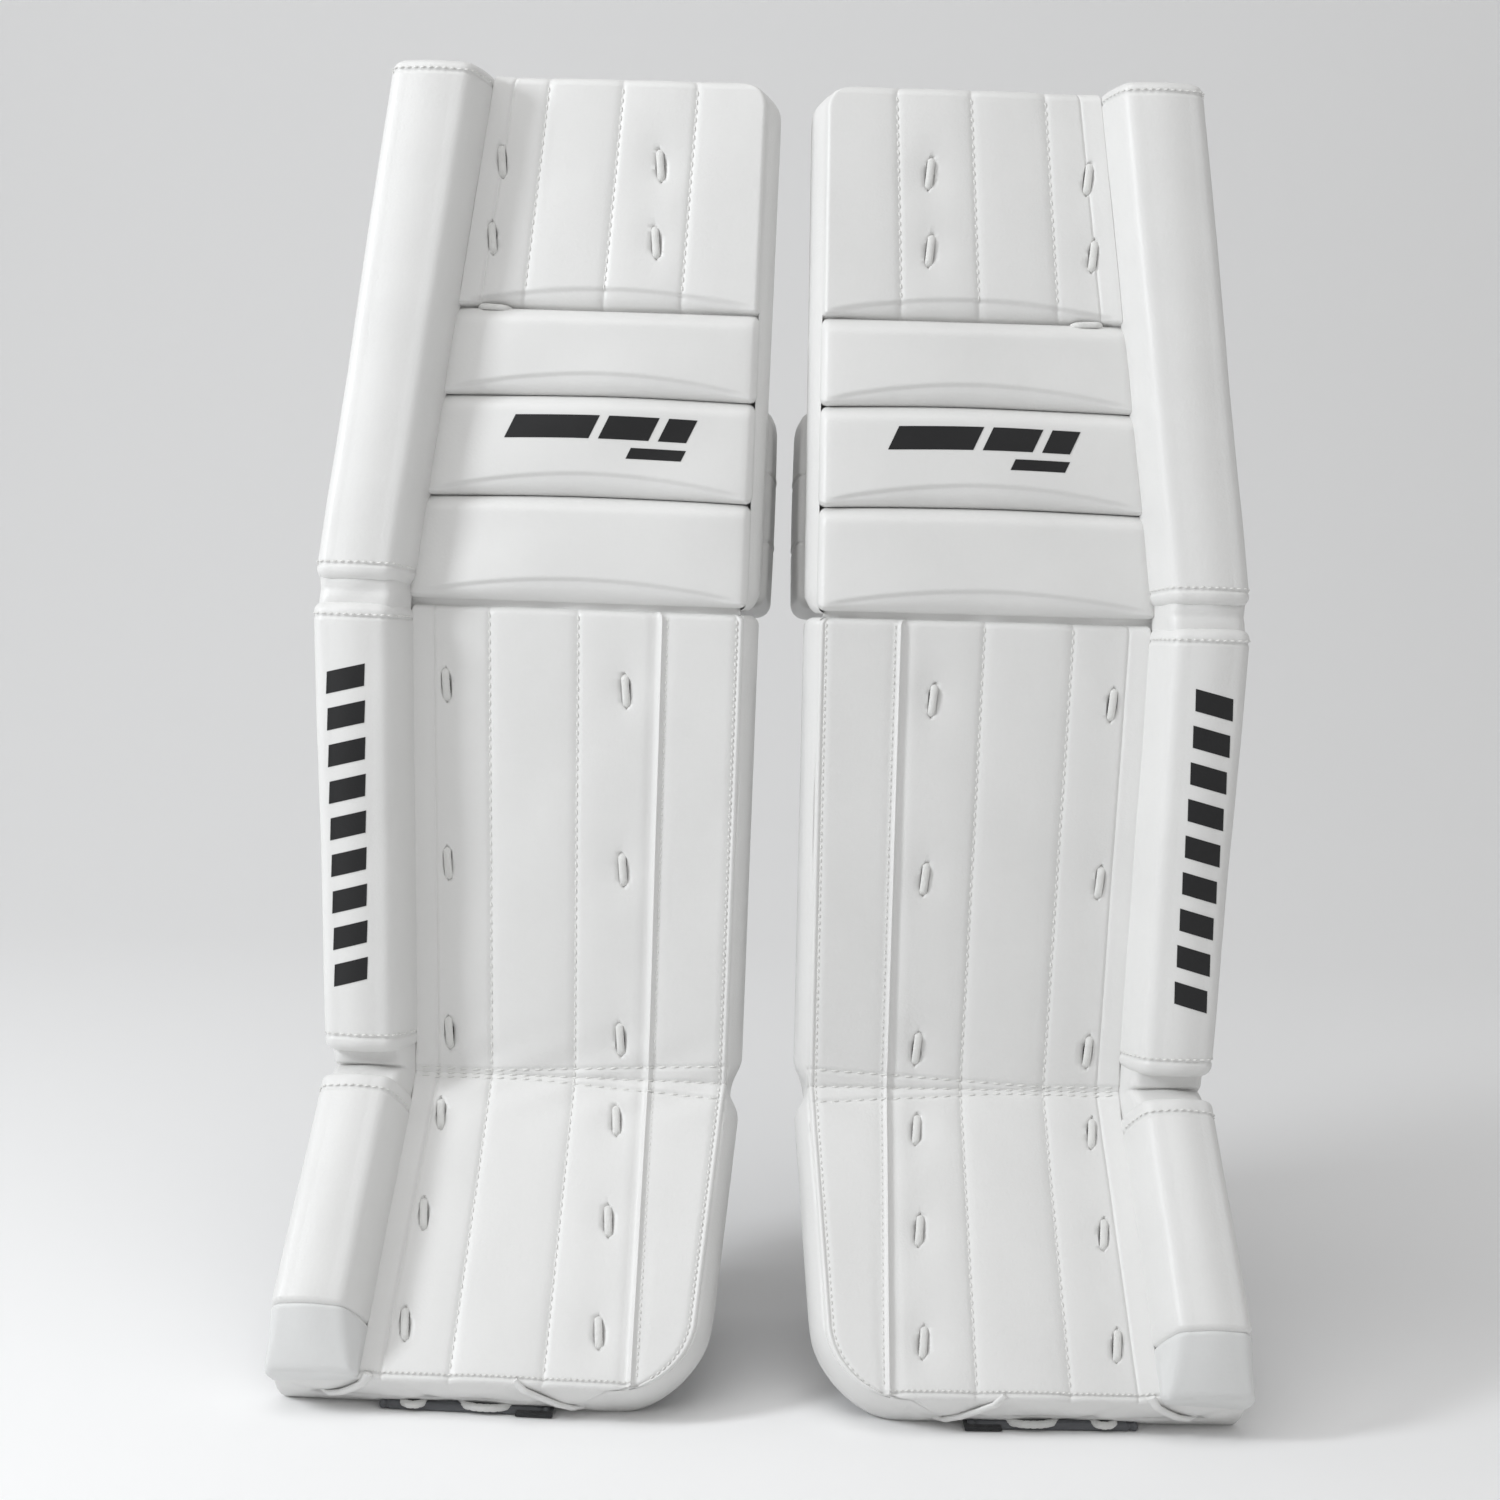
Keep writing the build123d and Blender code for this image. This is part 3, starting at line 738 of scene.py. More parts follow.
def shell(pad, group, rows, ends, replaces):
    """A padded body: rings up the pad, its two ends rounded over and closed with puffed walls."""
    place, columns, height, inner_at, edges = {
        "lower": (pad.lower, lower_columns, lower_height, inner_lower, edge_lower),
        "upper": (pad.upper, upper_columns, upper_height, inner_upper, edge_upper),
    }[group]
    (low, low_round, low_puff), (high, high_round, high_puff) = ends

    def outline(s, inset):
        u = columns(s)
        inner, outer = float(inner_at(s)), float(edges(2, s))
        return shell_ring(u, height(u, s), inner, outer, inset, wall_bulge(group, s))

    def end_wall(s, side, rounding, puff):
        """Rings closing in on a line along the middle of the end wall, puffed out and loosely folded."""
        edge = outline(s, rounding)
        low_u, high_u = edge[:, 0].min(), edge[:, 0].max()
        along = np.clip(edge[:, 0], low_u + 20, high_u - 20)
        target = np.stack([along, np.full(len(edge), -THICK / 2)], 1)
        walls = []
        for share in (0.12, 0.25, 0.4, 0.55, 0.7, 0.85, 0.97):
            points = lerp(edge, target, share)
            across, level = points[:, 0] - (low_u + high_u) / 2, points[:, 1] + THICK / 2
            lift = 1 - (1 - share) ** 2 + 0.35 * share * np.sin(across / 13 + level / 5)
            lift -= 0.8 * share * sum(bump(across - x - 1.5 * level, 5) for x in (-62, 8, 74))
            walls.append((points, np.full(len(points), s) + side * puff * lift))
        return walls

    rings = end_wall(low, -1, low_round, low_puff)[::-1]
    inside = [(s, 0) for s in rows if low + low_round < s < high - high_round]
    for s, inset in rounded(low, 1, low_round) + inside + rounded(high, -1, high_round)[::-1]:
        points = outline(s, inset)
        rings.append((points, np.full(len(points), s)))
    rings += end_wall(high, 1, high_round, high_puff)
    bag = Bag()
    bag.tube([place(p[:, 0], knee_bevel(group, s, p[:, 1]), p[:, 1]) for p, s in rings])
    bag.piece(pad, f"{group}_shell", WHITE, group, replaces, 0.85)


THREAD_LIFT = 0.1


def surface_line(place, height, u, s):
    """A line on a panel for stitches: world points and outward normals."""
    u, s = np.broadcast_arrays(np.asarray(u, float), np.asarray(s, float))
    level = height(u, s)
    points = place(u, s, level + THREAD_LIFT)
    return points, place(u, s, level + 1 + THREAD_LIFT) - points


def body_lower(pad, threads):
    """The boot and shin as one shell, with the stitches of its front."""
    corner = [-BOOT_LENGTH + TOE_CORNER * (1 - math.cos(a)) for a in np.linspace(0, math.pi / 2, 16)]
    loops = [s for _, s in SHIN_LOOPS + BOOT_LOOPS]
    extra = corner + near(loops, 13, 1.2) + near([0], 15, 1.0) + near([4 - BOOT_LENGTH], 2, 0.7)
    rows = row_places(-BOOT_LENGTH, SHIN_LENGTH, 5, extra)
    ends = ((-BOOT_LENGTH, 3.5, 2.3), (SHIN_LENGTH - 2, 5, -0.8))
    layers = ("face", "stiffener", "core")
    shell(pad, "lower", rows, ends, [f"{part}_{layer}" for part in ("boot", "shin") for layer in layers])

    def sew(u, s, pitch=STITCH_PITCH):
        stitches(threads, *surface_line(pad.lower, lower_height, u, s), pitch)

    up = np.linspace(-BOOT_LENGTH + 8, SHIN_LENGTH - 5, 260)
    for line in STITCHED:
        sew(along_lower(line, up), up)
    sew(along_lower(BEAD, up) - 3.4, up, 4.4)
    edge = up[inner_lower(up) < edge_lower(0, up) + 34]
    sew(inner_lower(edge) + 4.6, edge, 4.4)
    across = np.linspace(ANKLE[0] + 5, ANKLE[1] - 1, 110)
    toe = np.linspace(TOE[0] + 34, TOE[1] - 2, 90)
    sew(toe, 5.2 - BOOT_LENGTH, 3.6)
    for seam in ankle_seams(across):
        sew(across, seam, 8)


def toe_folds(pad):
    """Two diagonal folds of leather across the toe's end wall."""
    folds = [
        ((-18, 1), (-24, -4), (-33, -11), (-43, -19), (-52, -27), (-60, -34)),
        ((70, 1), (74, -4), (80, -9), (88, -15), (96, -20), (102, -24)),
    ]
    depth = np.array([-2.5, 1.8, 3.2, 4.2, 3.4, -1.0])
    bag = Bag()
    for fold in folds:
        t = np.linspace(0, len(fold) - 1, 40)
        u, n = (np.interp(t, range(len(fold)), [point[k] for point in fold]) for k in range(2))
        points = pad.boot(u, -BOOT_LENGTH - np.interp(t, range(len(depth)), depth), n)
        rope(bag, points, 3.0, 12, 0.55, -pad.boot.up)
    bag.piece(pad, "toe_folds", WHITE, "boot", (), 0.4)


def body_upper(pad, threads):
    """The shell above the knee crease, with the stitches of the thigh panel."""
    wall = near([THIGH_LOW + 6], 11, 0.8)
    loops = [s for _, s in UPPER_LOOPS]
    corner = [UPPER_LENGTH - TOP_CORNER * (1 - math.cos(a)) for a in np.linspace(0, math.pi / 2, 8)]
    rows = row_places(0, UPPER_LENGTH, 6, wall + near(loops, 13, 1.2) + corner)
    ends = ((1, 4, -0.8), (UPPER_LENGTH, 6, 2.0))
    shell(pad, "upper", rows, ends, ["thigh_face", "upper_stiffener", "upper_core"])
    up = np.linspace(THIGH_LOW + 12, UPPER_LENGTH - 6, 90)
    for line in thigh_lines(up):
        stitches(threads, *surface_line(pad.upper, upper_height, line, up))


# ---- outer rolls and knee rolls ----
def roll_corners(inner, outer, height, base):
    """The outer roll's section: steep on the inside, flat on top, down the pad's outer side."""
    draft = ROLL_DRAFT * height / ROLL_HEIGHT
    top = [(inner + draft, height), (outer, height)]
    return [(inner, base), (inner, 0), *top, (outer, -FACE), (outer - 9, -FACE + 1)]


def roll_section_at(group, s, height):
    """The outer roll's soft outline at s, slightly uneven along its length."""
    edges = edge_upper if group == "upper" else edge_lower
    inner, outer = float(edges(1, s)), float(edges(2, s))
    radius = min(10, height * 0.45)
    height += 0.35 * math.sin(s / 23) + 0.2 * math.sin(s / 9 + 1)
    corners = roll_corners(inner, outer + 1.2 + 0.3 * math.sin(s / 31), height, -3)
    return ring(corners, [2, 2, radius, radius, 3, 2], [2, 7, 12, 9, 2, 4], [0, 0.8, 1.8, 2.0, 0, 0])


def outer_roll(pad, name, group, low, high, seams, height_at, rounding, material):
    """One length of the tall roll along the outer side; the toe cap has no CAD node of its own."""
    place = {"boot": pad.boot, "shin": pad.shin, "upper": pad.upper}[group]

    def section(s):
        return roll_section_at(group, s, height_at(s))

    bag, threads = Bag(), Bag()
    padded_form(bag, place, section, low, high, rounding, 9, seams)
    bag.piece(pad, name, material, group, [name] if seams else [], 0.8)
    for seam in seams:
        points = section(seam)
        chosen = points[points[:, 1] > 3]
        line_points = place(chosen[:, 0], seam + 1.6, chosen[:, 1] + 0.1)
        centre = place(float(chosen[:, 0].mean()), seam, 5)
        stitches(threads, line_points, line_points - centre, pitch=4.6)
    if seams:
        threads.piece(pad, f"{name}_stitches", THREAD, group)


def knee_top_at(u, s, low, high):
    """Height of a knee roll's skin: crowned, with an arched wall below and a soft fold above."""
    middle = (low + high) / 2
    inner, foot = float(edge_upper(0, middle)), float(edge_upper(1, middle)) + 2
    share = np.clip((u - inner) / (foot - inner), 0, 1)
    reach = wall_reach(u, inner, foot)
    lift = 3.0 + 5.5 * np.sin(math.pi * share) ** 0.5
    rise, fall = np.clip((s - low) / reach, 0, 1), np.clip((high - s) / 13, 0, 1)
    top = lift - arch_step(s - low, reach) - (lift - 1.2) * (1 - rise) ** 2.2
    top -= 1.6 * bump(s - low, 0.9) + (lift + 2.6) * (1 - fall) ** 2.6
    return top + 0.5 * np.sin(s / 13 + u / 29) + 0.35 * np.sin(u / 17 + s / 31)


def knee_warp(u, s):
    """The knee rolls' boundaries bow upwards a little across the pad."""
    share = np.clip((u - edge_upper(0, s)) / (edge_upper(1, s) - edge_upper(0, s)), 0, 1)
    return s + 2.2 * np.sin(math.pi * share) * np.sin(math.pi * np.clip(s / KNEE_ROLL_EDGES[3], 0, 1))


def knee_roll(pad, name, low, high):
    """A padded roll across the knee."""
    middle = (low + high) / 2
    inner, foot = float(edge_upper(0, middle)), float(edge_upper(1, middle))
    rows = []
    for u, inset in stations(inner - 1.5, foot + 5, 5, 3.5):
        reach = float(wall_reach(u, inner, foot + 2))
        arch = low + reach
        steps = [np.linspace(low, arch - 0.7, 9), arch + np.array([-0.2, 0.5, 1.1, 1.8, 2.6, 3.6])]
        s = np.concatenate(steps + [np.linspace(arch + 6, high - 14, 8), np.linspace(high - 12.5, high, 9)])
        top = knee_top_at(u, s, low, high)
        s = np.concatenate([s, [high - 0.5, high - 3, low + 3, low + 0.5]])
        n = np.concatenate([top, [-FACE + 3, -FACE + 1, -FACE + 1, -FACE + 3]])
        s = middle + (s - middle) * (1 - inset / 30)
        n = -4 + (n + 4) * (1 - inset / 7)
        slope = (edge_upper(1, s) - edge_upper(1, middle)) * (u - inner) / (foot - inner)
        rows.append(pad.upper(u + slope, knee_warp(u + slope, s), n))
    bag = Bag()
    bag.tube(rows)
    bag.piece(pad, name, WHITE, "upper", [name], 0.8)


def rolls(pad):
    """The three lengths of the outer roll, and the cap on its toe end."""

    def cap_height(s):
        share = np.clip((s + BOOT_LENGTH) / TOE_CAP_LENGTH, 0, 1)
        return float(lerp(TOE_CAP_HEIGHT, ROLL_HEIGHT, share))

    def full(_):
        return ROLL_HEIGHT

    cap_top = TOE_CAP_LENGTH - BOOT_LENGTH - 2.5
    parts = [
        ("toe_cap", "boot", -BOOT_LENGTH - 0.5, cap_top + 1, [], cap_height, 4, CAP),
        ("boot_outer_roll", "boot", cap_top, BOOT_ROLL_TOP, [BOOT_ROLL_TOP - 11], cap_height, 4, WHITE),
        ("shin_outer_roll", "shin", SHIN_ROLL_LOW - 2, SHIN_ROLL_HIGH + 3, [25, 289], full, 7, WHITE),
        ("upper_outer_roll", "upper", UPPER_ROLL_LOW - 4, UPPER_LENGTH, [18, 333], full, 7, WHITE),
    ]
    for name, group, low, high, seams, height_at, rounding, material in parts:
        outer_roll(pad, name, group, low, high, seams, height_at, rounding, material)


# ---- lacing ----
def lacing(pad, group, place, height, loops, name):
    """Short loops of flat lace, each held at both ends in an eyelet slit, with painted shade sunk in each
    slit.
    """
    cords, slit_shades = Bag(), Bag()
    for loop_u, loop_s in loops:
        base = float(height(np.array([loop_u - 7.0]), np.array([loop_s]))[0]) - 0.4
        t = np.linspace(-1, 1, 25)
        rise = 0.6 - 3.4 * np.abs(t) ** 7
        points = place(loop_u + LOOP_LEAN * t, loop_s + t * (LOOP_HALF - 0.6), base + rise)
        normal = place(loop_u, loop_s, 1) - place(loop_u, loop_s, 0)
        rope(cords, points, 2.35, 14, 0.6, normal, weave=0.07)
        # a near-black rim sunk round each slit: painted shade for the inside of the slit, not a part of the
        # pad
        around = np.linspace(0, 2 * math.pi, 24, endpoint=False)
        rim_s = (LOOP_HALF + 1.0) * np.cos(around)
        rim_u = SLIT_HALF * np.sign(np.sin(around)) * np.abs(np.sin(around)) ** 0.7
        rim_u += LOOP_LEAN * np.cos(around)
        shape = ((0.9, -4.5), (1, -3.4), (1, -2.6), (0.85, -2.3))
        slit_shades.tube([place(loop_u + rim_u * k, loop_s + rim_s * k, base + depth) for k, depth in shape])
    cords.piece(pad, name, CORD, group, [name])
    slit_shades.piece(pad, f"{name}_eyelets", SLIT_SHADE, group)


def crease_loop(pad):
    """A lacing loop that lies sideways in the crease under the thigh panel, beside the outer roll."""
    t = np.linspace(-1, 1, 25)
    centre = float(edge_upper(1, THIGH_LOW)) - 22
    points = pad.upper(centre + 9.5 * t, THIGH_LOW - 0.6 + 0.5 * t, 1.2 - 5.5 * np.abs(t) ** 5)
    bag = Bag()
    rope(bag, points, 1.9, 12, 0.8, pad.upper.front, weave=0.07)
    bag.piece(pad, "crease_loop", CORD, "upper")


# ---- folds between the stretches ----
def knee_place(pad):
    """Coordinates round the knee crease: v is s above or below it, on the stretch it falls on."""

    def place(u, v, n):
        u, v, n = np.broadcast_arrays(*(np.asarray(x, float) for x in (u, v, n)))
        low, high = pad.shin(u, SHIN_LENGTH + v, n), pad.upper(u, v, n)
        share = smoothstep(-CREASE_BLEND, CREASE_BLEND, v)[..., None]
        return lerp(low, high, share)

    return place


def gussets(pad):
    """Soft leather between the outer rolls, and the fold behind the lowest knee roll."""
    spans = [
        ("ankle_gusset", "lower", pad.lower, -27, 25, edge_lower, 25, 7),
        ("knee_gusset", "knee", knee_place(pad), -13, 20, lambda line, _: KNEE[line], 30.5, 3),
    ]
    for name, group, place, low, high, edges, height, dip in spans:
        middle = (low + high) / 2
        rows = []
        for s in np.arange(low, high + 0.1, 1.5):
            share = abs(s - middle) / (high - low) * 2
            rise = height - dip * (1 - share**1.5) - 1.6 * math.exp(-(((s - middle) / 3) ** 2))
            rise += 0.8 * math.sin(s / 3.1)
            inner, outer = float(edges(1, s)) + 1.5, float(edges(2, s)) - 1.2 - 1.2 * (1 - share)
            corners = roll_corners(inner, outer, rise, -4)
            points = ring(corners, [2, 2, 7, 8, 3, 2], [2, 6, 12, 8, 2, 4], [0, 0, 1.5, 0.5, 0, 0])
            points[:, 1] += 0.5 * np.sin(points[:, 0] / 6 + s / 4) * (points[:, 1] > 5)
            rows.append(place(points[:, 0], s, points[:, 1]))
        bag = Bag()
        bag.tube(rows)
        bag.piece(pad, name, WHITE, group, (), 0.4)
    rows = []
    for u in np.linspace(KNEE[0] + 3, KNEE[1] + 20, 60):
        corners = [(-7, -15), (-6, -4.5), (0, -6.5), (6, -4.5), (7, -15)]
        points = ring(corners, [2, 2, 3, 2, 2], [3, 4, 4, 3, 5])
        rows.append(knee_place(pad)(u, points[:, 0], points[:, 1] + 0.4 * math.sin(u / 6)))
    bag = Bag()
    bag.tube(rows)
    bag.piece(pad, "knee_fold", WHITE, "knee", (), 0.4)


# ---- the back of the pad ----
def back_fabric(pad):
    """Woven panels over the back, with bound and stitched edges; the upper stops short of the wing."""
    parts = [
        ("shin_back", "lower", pad.lower, -BOOT_LENGTH + 12, SHIN_LENGTH - 14, inner_lower, edge_lower, 8),
        ("upper_back", "upper", pad.upper, 13, UPPER_LENGTH - 9, inner_upper, edge_upper, 26),
    ]
    for name, group, place, low, high, inner_at, edges, margin in parts:
        bag, binding, threads = Bag(), Bag(), Bag()
        places = row_places(low, high, 8, near([0], 12, 3) if group == "lower" else [])
        spans = {s: (float(inner_at(s)) + 8, float(edges(2, s)) - margin) for s in places}
        rows = []
        for s, (left, right) in spans.items():
            corners = [(left, -THICK + 2), (right, -THICK + 2), (right, -THICK - 2.2), (left, -THICK - 2.2)]
            points = ring(corners, [1, 1, 1.6, 1.6], [8, 1, 30, 1])
            points[:, 1] += 0.35 * np.sin(points[:, 0] / 15 + s / 21)
            rows.append(place(points[:, 0], s, points[:, 1]))
        bag.tube(rows)
        bag.piece(pad, name, BACKING, group)
        edge_rows = [[(span[k], s) for s, span in spans.items()] for k in range(2)]
        edge_rows += [[(u, s) for u in np.linspace(*spans[s], 40)] for s in (low, high)]
        for row in edge_rows:
            path = np.array(row)
            points = place(path[:, 0], path[:, 1], -THICK - 1.2)
            rope(binding, points, 2.6, 10, 0.8, place(0, 50, 1) - place(0, 50, 0))
            middle = np.array([0.0, (low + high) / 2])
            inward = path + unit(middle - path) * 4.5
            line = place(inward[:, 0], inward[:, 1], -THICK - 2.5)
            normal = line - place(inward[:, 0], inward[:, 1], -THICK - 1.5)
            stitches(threads, line, normal, pitch=5)
        binding.piece(pad, f"{name}_binding", WEBBING, group)
        threads.piece(pad, f"{name}_stitches", GREY_THREAD, group)


def seam_threads(pad, name, group, place, section, seams, keep, material):
    """Stitches beside the sewn grooves of a padded form, on the part of its section that keep picks."""
    threads = Bag()
    for seam in seams:
        points = section(seam)
        points = points[keep(points)]
        centre = section(seam).mean(0)
        line = place(points[:, 0], seam + 2.0, points[:, 1])
        inside = place(np.full(len(points), centre[0]), seam + 2.0, np.full(len(points), centre[1]))
        outward = unit(line - inside)
        stitches(threads, line + outward * 0.3 * MM, outward, pitch=4.6)
    threads.piece(pad, f"{name}_stitches", material, group)


def channel_cushions(pad):
    """The risers and the cradle that hold the leg behind the shin."""

    def inner_section(_):
        edge = ANKLE[0]
        corners = [(edge, -43), (edge + 54, -43), (edge + 42, -104), (edge + 6, -104)]
        return ring(corners, [3, 3, 11, 11], [10, 12, 9, 12], [0, 2.2, 2.4, 1.8])

    def outer_section(t):
        edge = float(edge_lower(2, t))
        corners = [(edge, -43), (edge - 48, -43), (edge - 36, -92), (edge - 6, -92)]
        return ring(corners, [3, 3, 11, 11], [10, 10, 8, 10], [0, 2.2, 2.2, 1.6])

    def cradle_section(t):
        right = lerp(62, 66, (t - CRADLE[0]) / (CRADLE[1] - CRADLE[0]))
        corners = [(-72, -43), (right, -43), (right - 4, -60), (-68, -60)]
        points = ring(corners, [2, 2, 8, 8], [10, 3, 44, 3], [0, 0.6, 2.6, 0.6])
        for line in (-27, 19):
            points[:, 1] += 2.4 * bump(points[:, 0] - line, 2.4) * (points[:, 1] < -52)
        return points

    parts = [
        ("inner_riser", inner_section, RISERS, (80, 140, 201)),
        ("outer_riser", outer_section, RISERS, (80, 140, 201)),
        ("shin_cradle", cradle_section, CRADLE, (180, 232)),
    ]
    for name, section, span, seams in parts:
        bag = Bag()
        padded_form(bag, pad.shin, section, *span, 8, 7, seams, swell=0.6)
        bag.piece(pad, name, LINING, "shin", [name], 0.75)
        seam_threads(pad, name, "shin", pad.shin, section, seams, lambda p: p[:, 1] < -48, GREY_THREAD)


def knee_cushions(pad):
    """The block on the inner side of the knee, and the wing that folds round its outer side."""

    def block_section(_):
        corners = [(-146.8, -43), (-80, -43), (-80, -130), (-146.8, -130)]
        return ring(corners, [5, 5, 15, 15], [10, 16, 12, 18], [0, 2.0, 2.6, 1.0])

    def wing_section(_):
        corners = [(113, -48.5), (101, -48.5), (90, -92), (85, -134), (97, -134), (103, -92)]
        return ring(corners, [3, 3, 12, 5.8, 5.8, 12], [2, 9, 8, 2, 8, 9], [0, 0.8, 0.8, 0, 0.8, 0.8])

    for name, group, section, span, seams, rounding, thin in [
        ("knee_block", "upper", block_section, KNEE_BLOCK, (51, 95), 9, False),
        ("knee_wing", "knee_wing", wing_section, KNEE_WING, (62, 106), 5.5, True),
    ]:
        bag = Bag()
        padded_form(bag, pad.upper, section, *span, rounding, 6, seams, swell=0.8, thin=thin)
        bag.piece(pad, name, WHITE, group, [name], 0.8)
        seam_threads(pad, name, group, pad.upper, section, seams, lambda p: p[:, 1] < -50, THREAD)


def circle_through(a, b, c, count):
    """Points on the arc from a through b to c."""
    a, b, c = (np.array(p, float) for p in (a, b, c))
    rows = np.array([b - a, c - a])
    centre = np.linalg.solve(2 * rows, np.array([b @ b - a @ a, c @ c - a @ a]))
    angles = np.unwrap([math.atan2(*(p - centre)[::-1]) for p in (a, b, c)])
    turns = np.linspace(angles[0], angles[2], count)
    return centre + np.linalg.norm(a - centre) * np.stack([np.cos(turns), np.sin(turns)], 1)


def calf_wrap(pad):
    """The curved calf panel, a bound cushion lined on its inner side."""
    inner = circle_through((-117, -107.5), (-36, -131), (58, -117), 60)
    outer = circle_through((-123, -116.5), (-36, -142), (61, -127), 60)
    share = np.linspace(-1, 1, 60)[:, None]
    plump = np.sqrt(np.clip(1 - np.abs(share) ** 9, 0, 1))
    middle, half = (inner + outer) / 2, (outer - inner) / 2
    (low, high), seams = CALF_WRAP, (107, 173)

    def section(t):
        reach = plump * (1 + 0.06 * math.sin((t - low) / 19))
        ridge = 1 - 0.14 * bump(share, 0.02)
        return np.concatenate([middle + half * reach * ridge, (middle - half * reach)[::-1]])

    bag = Bag()
    padded_form(bag, pad.shin, section, low, high, 5, 6, seams, thin=True)
    bag.piece(pad, "calf_wrap", WHITE, "calf_wrap", ["calf_wrap"], 0.7)
    lining = Bag()
    rows = []
    for t in np.linspace(low + 9, high - 9, 40):
        spread = np.linspace(-0.93, 0.93, 50)
        face = np.stack([np.interp(spread, share[:, 0], inner[:, k]) for k in range(2)], 1)
        away = unit(np.stack([np.interp(spread, share[:, 0], half[:, k]) for k in range(2)], 1))
        thick = 0.8 + 0.25 * np.sin(spread * 20 + t / 8)[:, None]
        outline = np.concatenate([face - away * thick, (face + away * 0.8)[::-1]])
        rows.append(pad.shin(outline[:, 0], t, outline[:, 1]))
    lining.tube(rows)
    lining.piece(pad, "calf_lining", LINING, "calf_wrap")

    def outside(points):
        return np.arange(len(points)) < 60

    seam_threads(pad, "calf_wrap", "calf_wrap", pad.shin, section, seams, outside, GREY_THREAD)
    binding = Bag()
    for t in (low + 3, high - 3):
        path = middle[2:-2]
        rope(binding, pad.shin(path[:, 0], t, path[:, 1]), 6.4, 12, 0.55, pad.shin.up)
    binding.piece(pad, "calf_binding", WHITE, "calf_wrap")


# ---- straps ----
def smooth_route(route):
    """Points about 2.5 mm apart along a route, with its corners eased."""
    route = np.array(route, float)
    length = travelled(route)
    where = np.linspace(0, length[-1], int(length[-1] / 2.5) + 1)
    path = np.stack([np.interp(where, length, route[:, k]) for k in range(2)], 1)
    for _ in range(14):
        path[1:-1] = 0.25 * path[:-2] + 0.5 * path[1:-1] + 0.25 * path[2:]
    return path


def strap(pad, name, group, place, route, low, high, patch):
    """A woven strap laid along a route, with thick selvedges, stitches and a patch of its fastener.

    place takes (route point, across); patch is where along the strap it starts and ends, and its offset.
    """
    path = smooth_route(route)
    tangent = unit(np.gradient(path, axis=0))
    normal = np.stack([tangent[:, 1], -tangent[:, 0]], 1)

    def band(thick, s_low, s_high, first, last, lift):
        corners = [(s_low, -thick / 2), (s_high, -thick / 2), (s_high, thick / 2), (s_low, thick / 2)]
        outline = ring(corners, [thick / 2.2] * 4, [16, 1, 16, 1])
        edge = np.minimum(outline[:, 0] - s_low, s_high - outline[:, 0])
        swell = 1 + 0.25 * bump(edge - 1.5, 1.4) - 0.12 * bump(edge - 3.6, 1.0)
        rows = []
        for k in range(first, last):
            offset = outline[:, 1] * swell + lift
            points = path[k] + normal[k] * offset[:, None]
            rows.append(place(points, outline[:, 0]))
        bag = Bag()
        bag.tube(rows)
        return bag

    band(2.5, low, high, 0, len(path), 0).piece(pad, name, WEBBING, group, [name])
    threads = Bag()
    for across in (low + 4, high - 4):
        for face in (1, -1):
            line = place(path + normal * 1.45 * face, np.full(len(path), across))
            away = place(path + normal * 2.45 * face, np.full(len(path), across)) - line
            stitches(threads, line, away, pitch=4.2)
    threads.piece(pad, f"{name}_stitches", GREY_THREAD, group)
    first, last = (int(share * len(path)) for share in patch[:2])
    band(1.8, low + 3, high - 3, first, last, patch[2]).piece(pad, f"{name}_patch", LINING, group)


def straps(pad):
    """The straps behind the calf, the knee and the boot."""

    def on(stretch):
        return lambda points, across: stretch(points[..., 0], across, points[..., 1])

    calf = [(-20, -145.7), (20, -142.2), (61, -131.2), (92, -96.2), (118, -94.3)]
    strap(pad, "calf_strap", "calf_wrap", on(pad.shin), calf, 115, 165, (0.03, 0.3, -1.9))
    knee = [(97, -135.6), (60, -134.6), (-60, -132.6), (-112, -131.8)]
    strap(pad, "knee_strap", "knee_wing", on(pad.upper), knee, 60, 105, (0.72, 0.985, 1.9))

    def on_ground(points, across):
        return pad.ground(points[..., 0], points[..., 1], across)

    strap(pad, "boot_strap", "boot_strap", on_ground, [(80, 95.7), (-58, 95.7)], 62, 88, (0.02, 0.22, -1.9))


# ---- boot channel ----
WALL_OUTLINE = [(23.8, 142), (-95.0, 0), (86, 0), (94, 70), (72, 126)]


def channel_place(pad):
    """Places a section, in y to the rear and z up, at t across the boot channel and above the floor."""
    return lambda y, t, z: pad.ground(np.full_like(y, t), y, np.maximum(z, 0.0))


def boot_channel(pad):
    """The two walls beside the boot, piped and stitched round, and the bridge between them."""
    outline = ring(WALL_OUTLINE, [9, 5, 7, 18, 18], [34, 30, 14, 12, 10], [0, 0, 0.6, 0.5, 0.8])

    place = channel_place(pad)
    walls, piping, threads = Bag(), Bag(), Bag()
    for low in WALL_STARTS:
        padded_form(walls, place, lambda _: outline, low, low + WALL_THICK, 6, 3)
        for t, face in ((low + 1.8, -1), (low + WALL_THICK - 1.8, 1)):
            edge = drawn_in(outline, 1.6)
            edge = edge[(edge[:, 1] > 3) & (edge[:, 0] > 24)]
            edge = edge[np.argsort(np.arctan2(edge[:, 1] - 60, edge[:, 0] - 40))]
            rope(piping, place(edge[:, 0], t, edge[:, 1]), 1.7, 8, 1.0, pad.boot.across)
            inner = drawn_in(outline, 9)
            inner = inner[inner[:, 1] > 9]
            inner = np.concatenate([inner, inner[:1]])
            line = place(inner[:, 0], low + WALL_THICK / 2 + face * 11.15, inner[:, 1])
            stitches(threads, line, np.broadcast_to(pad.boot.across * face, line.shape), pitch=5)
    walls.piece(pad, "boot_walls", LINING, "boot", ["boot_walls"], 0.85)
    piping.piece(pad, "boot_piping", BLACK_LEATHER, "boot")
    threads.piece(pad, "boot_wall_stitches", GREY_THREAD, "boot")
    toe_bridge(pad)


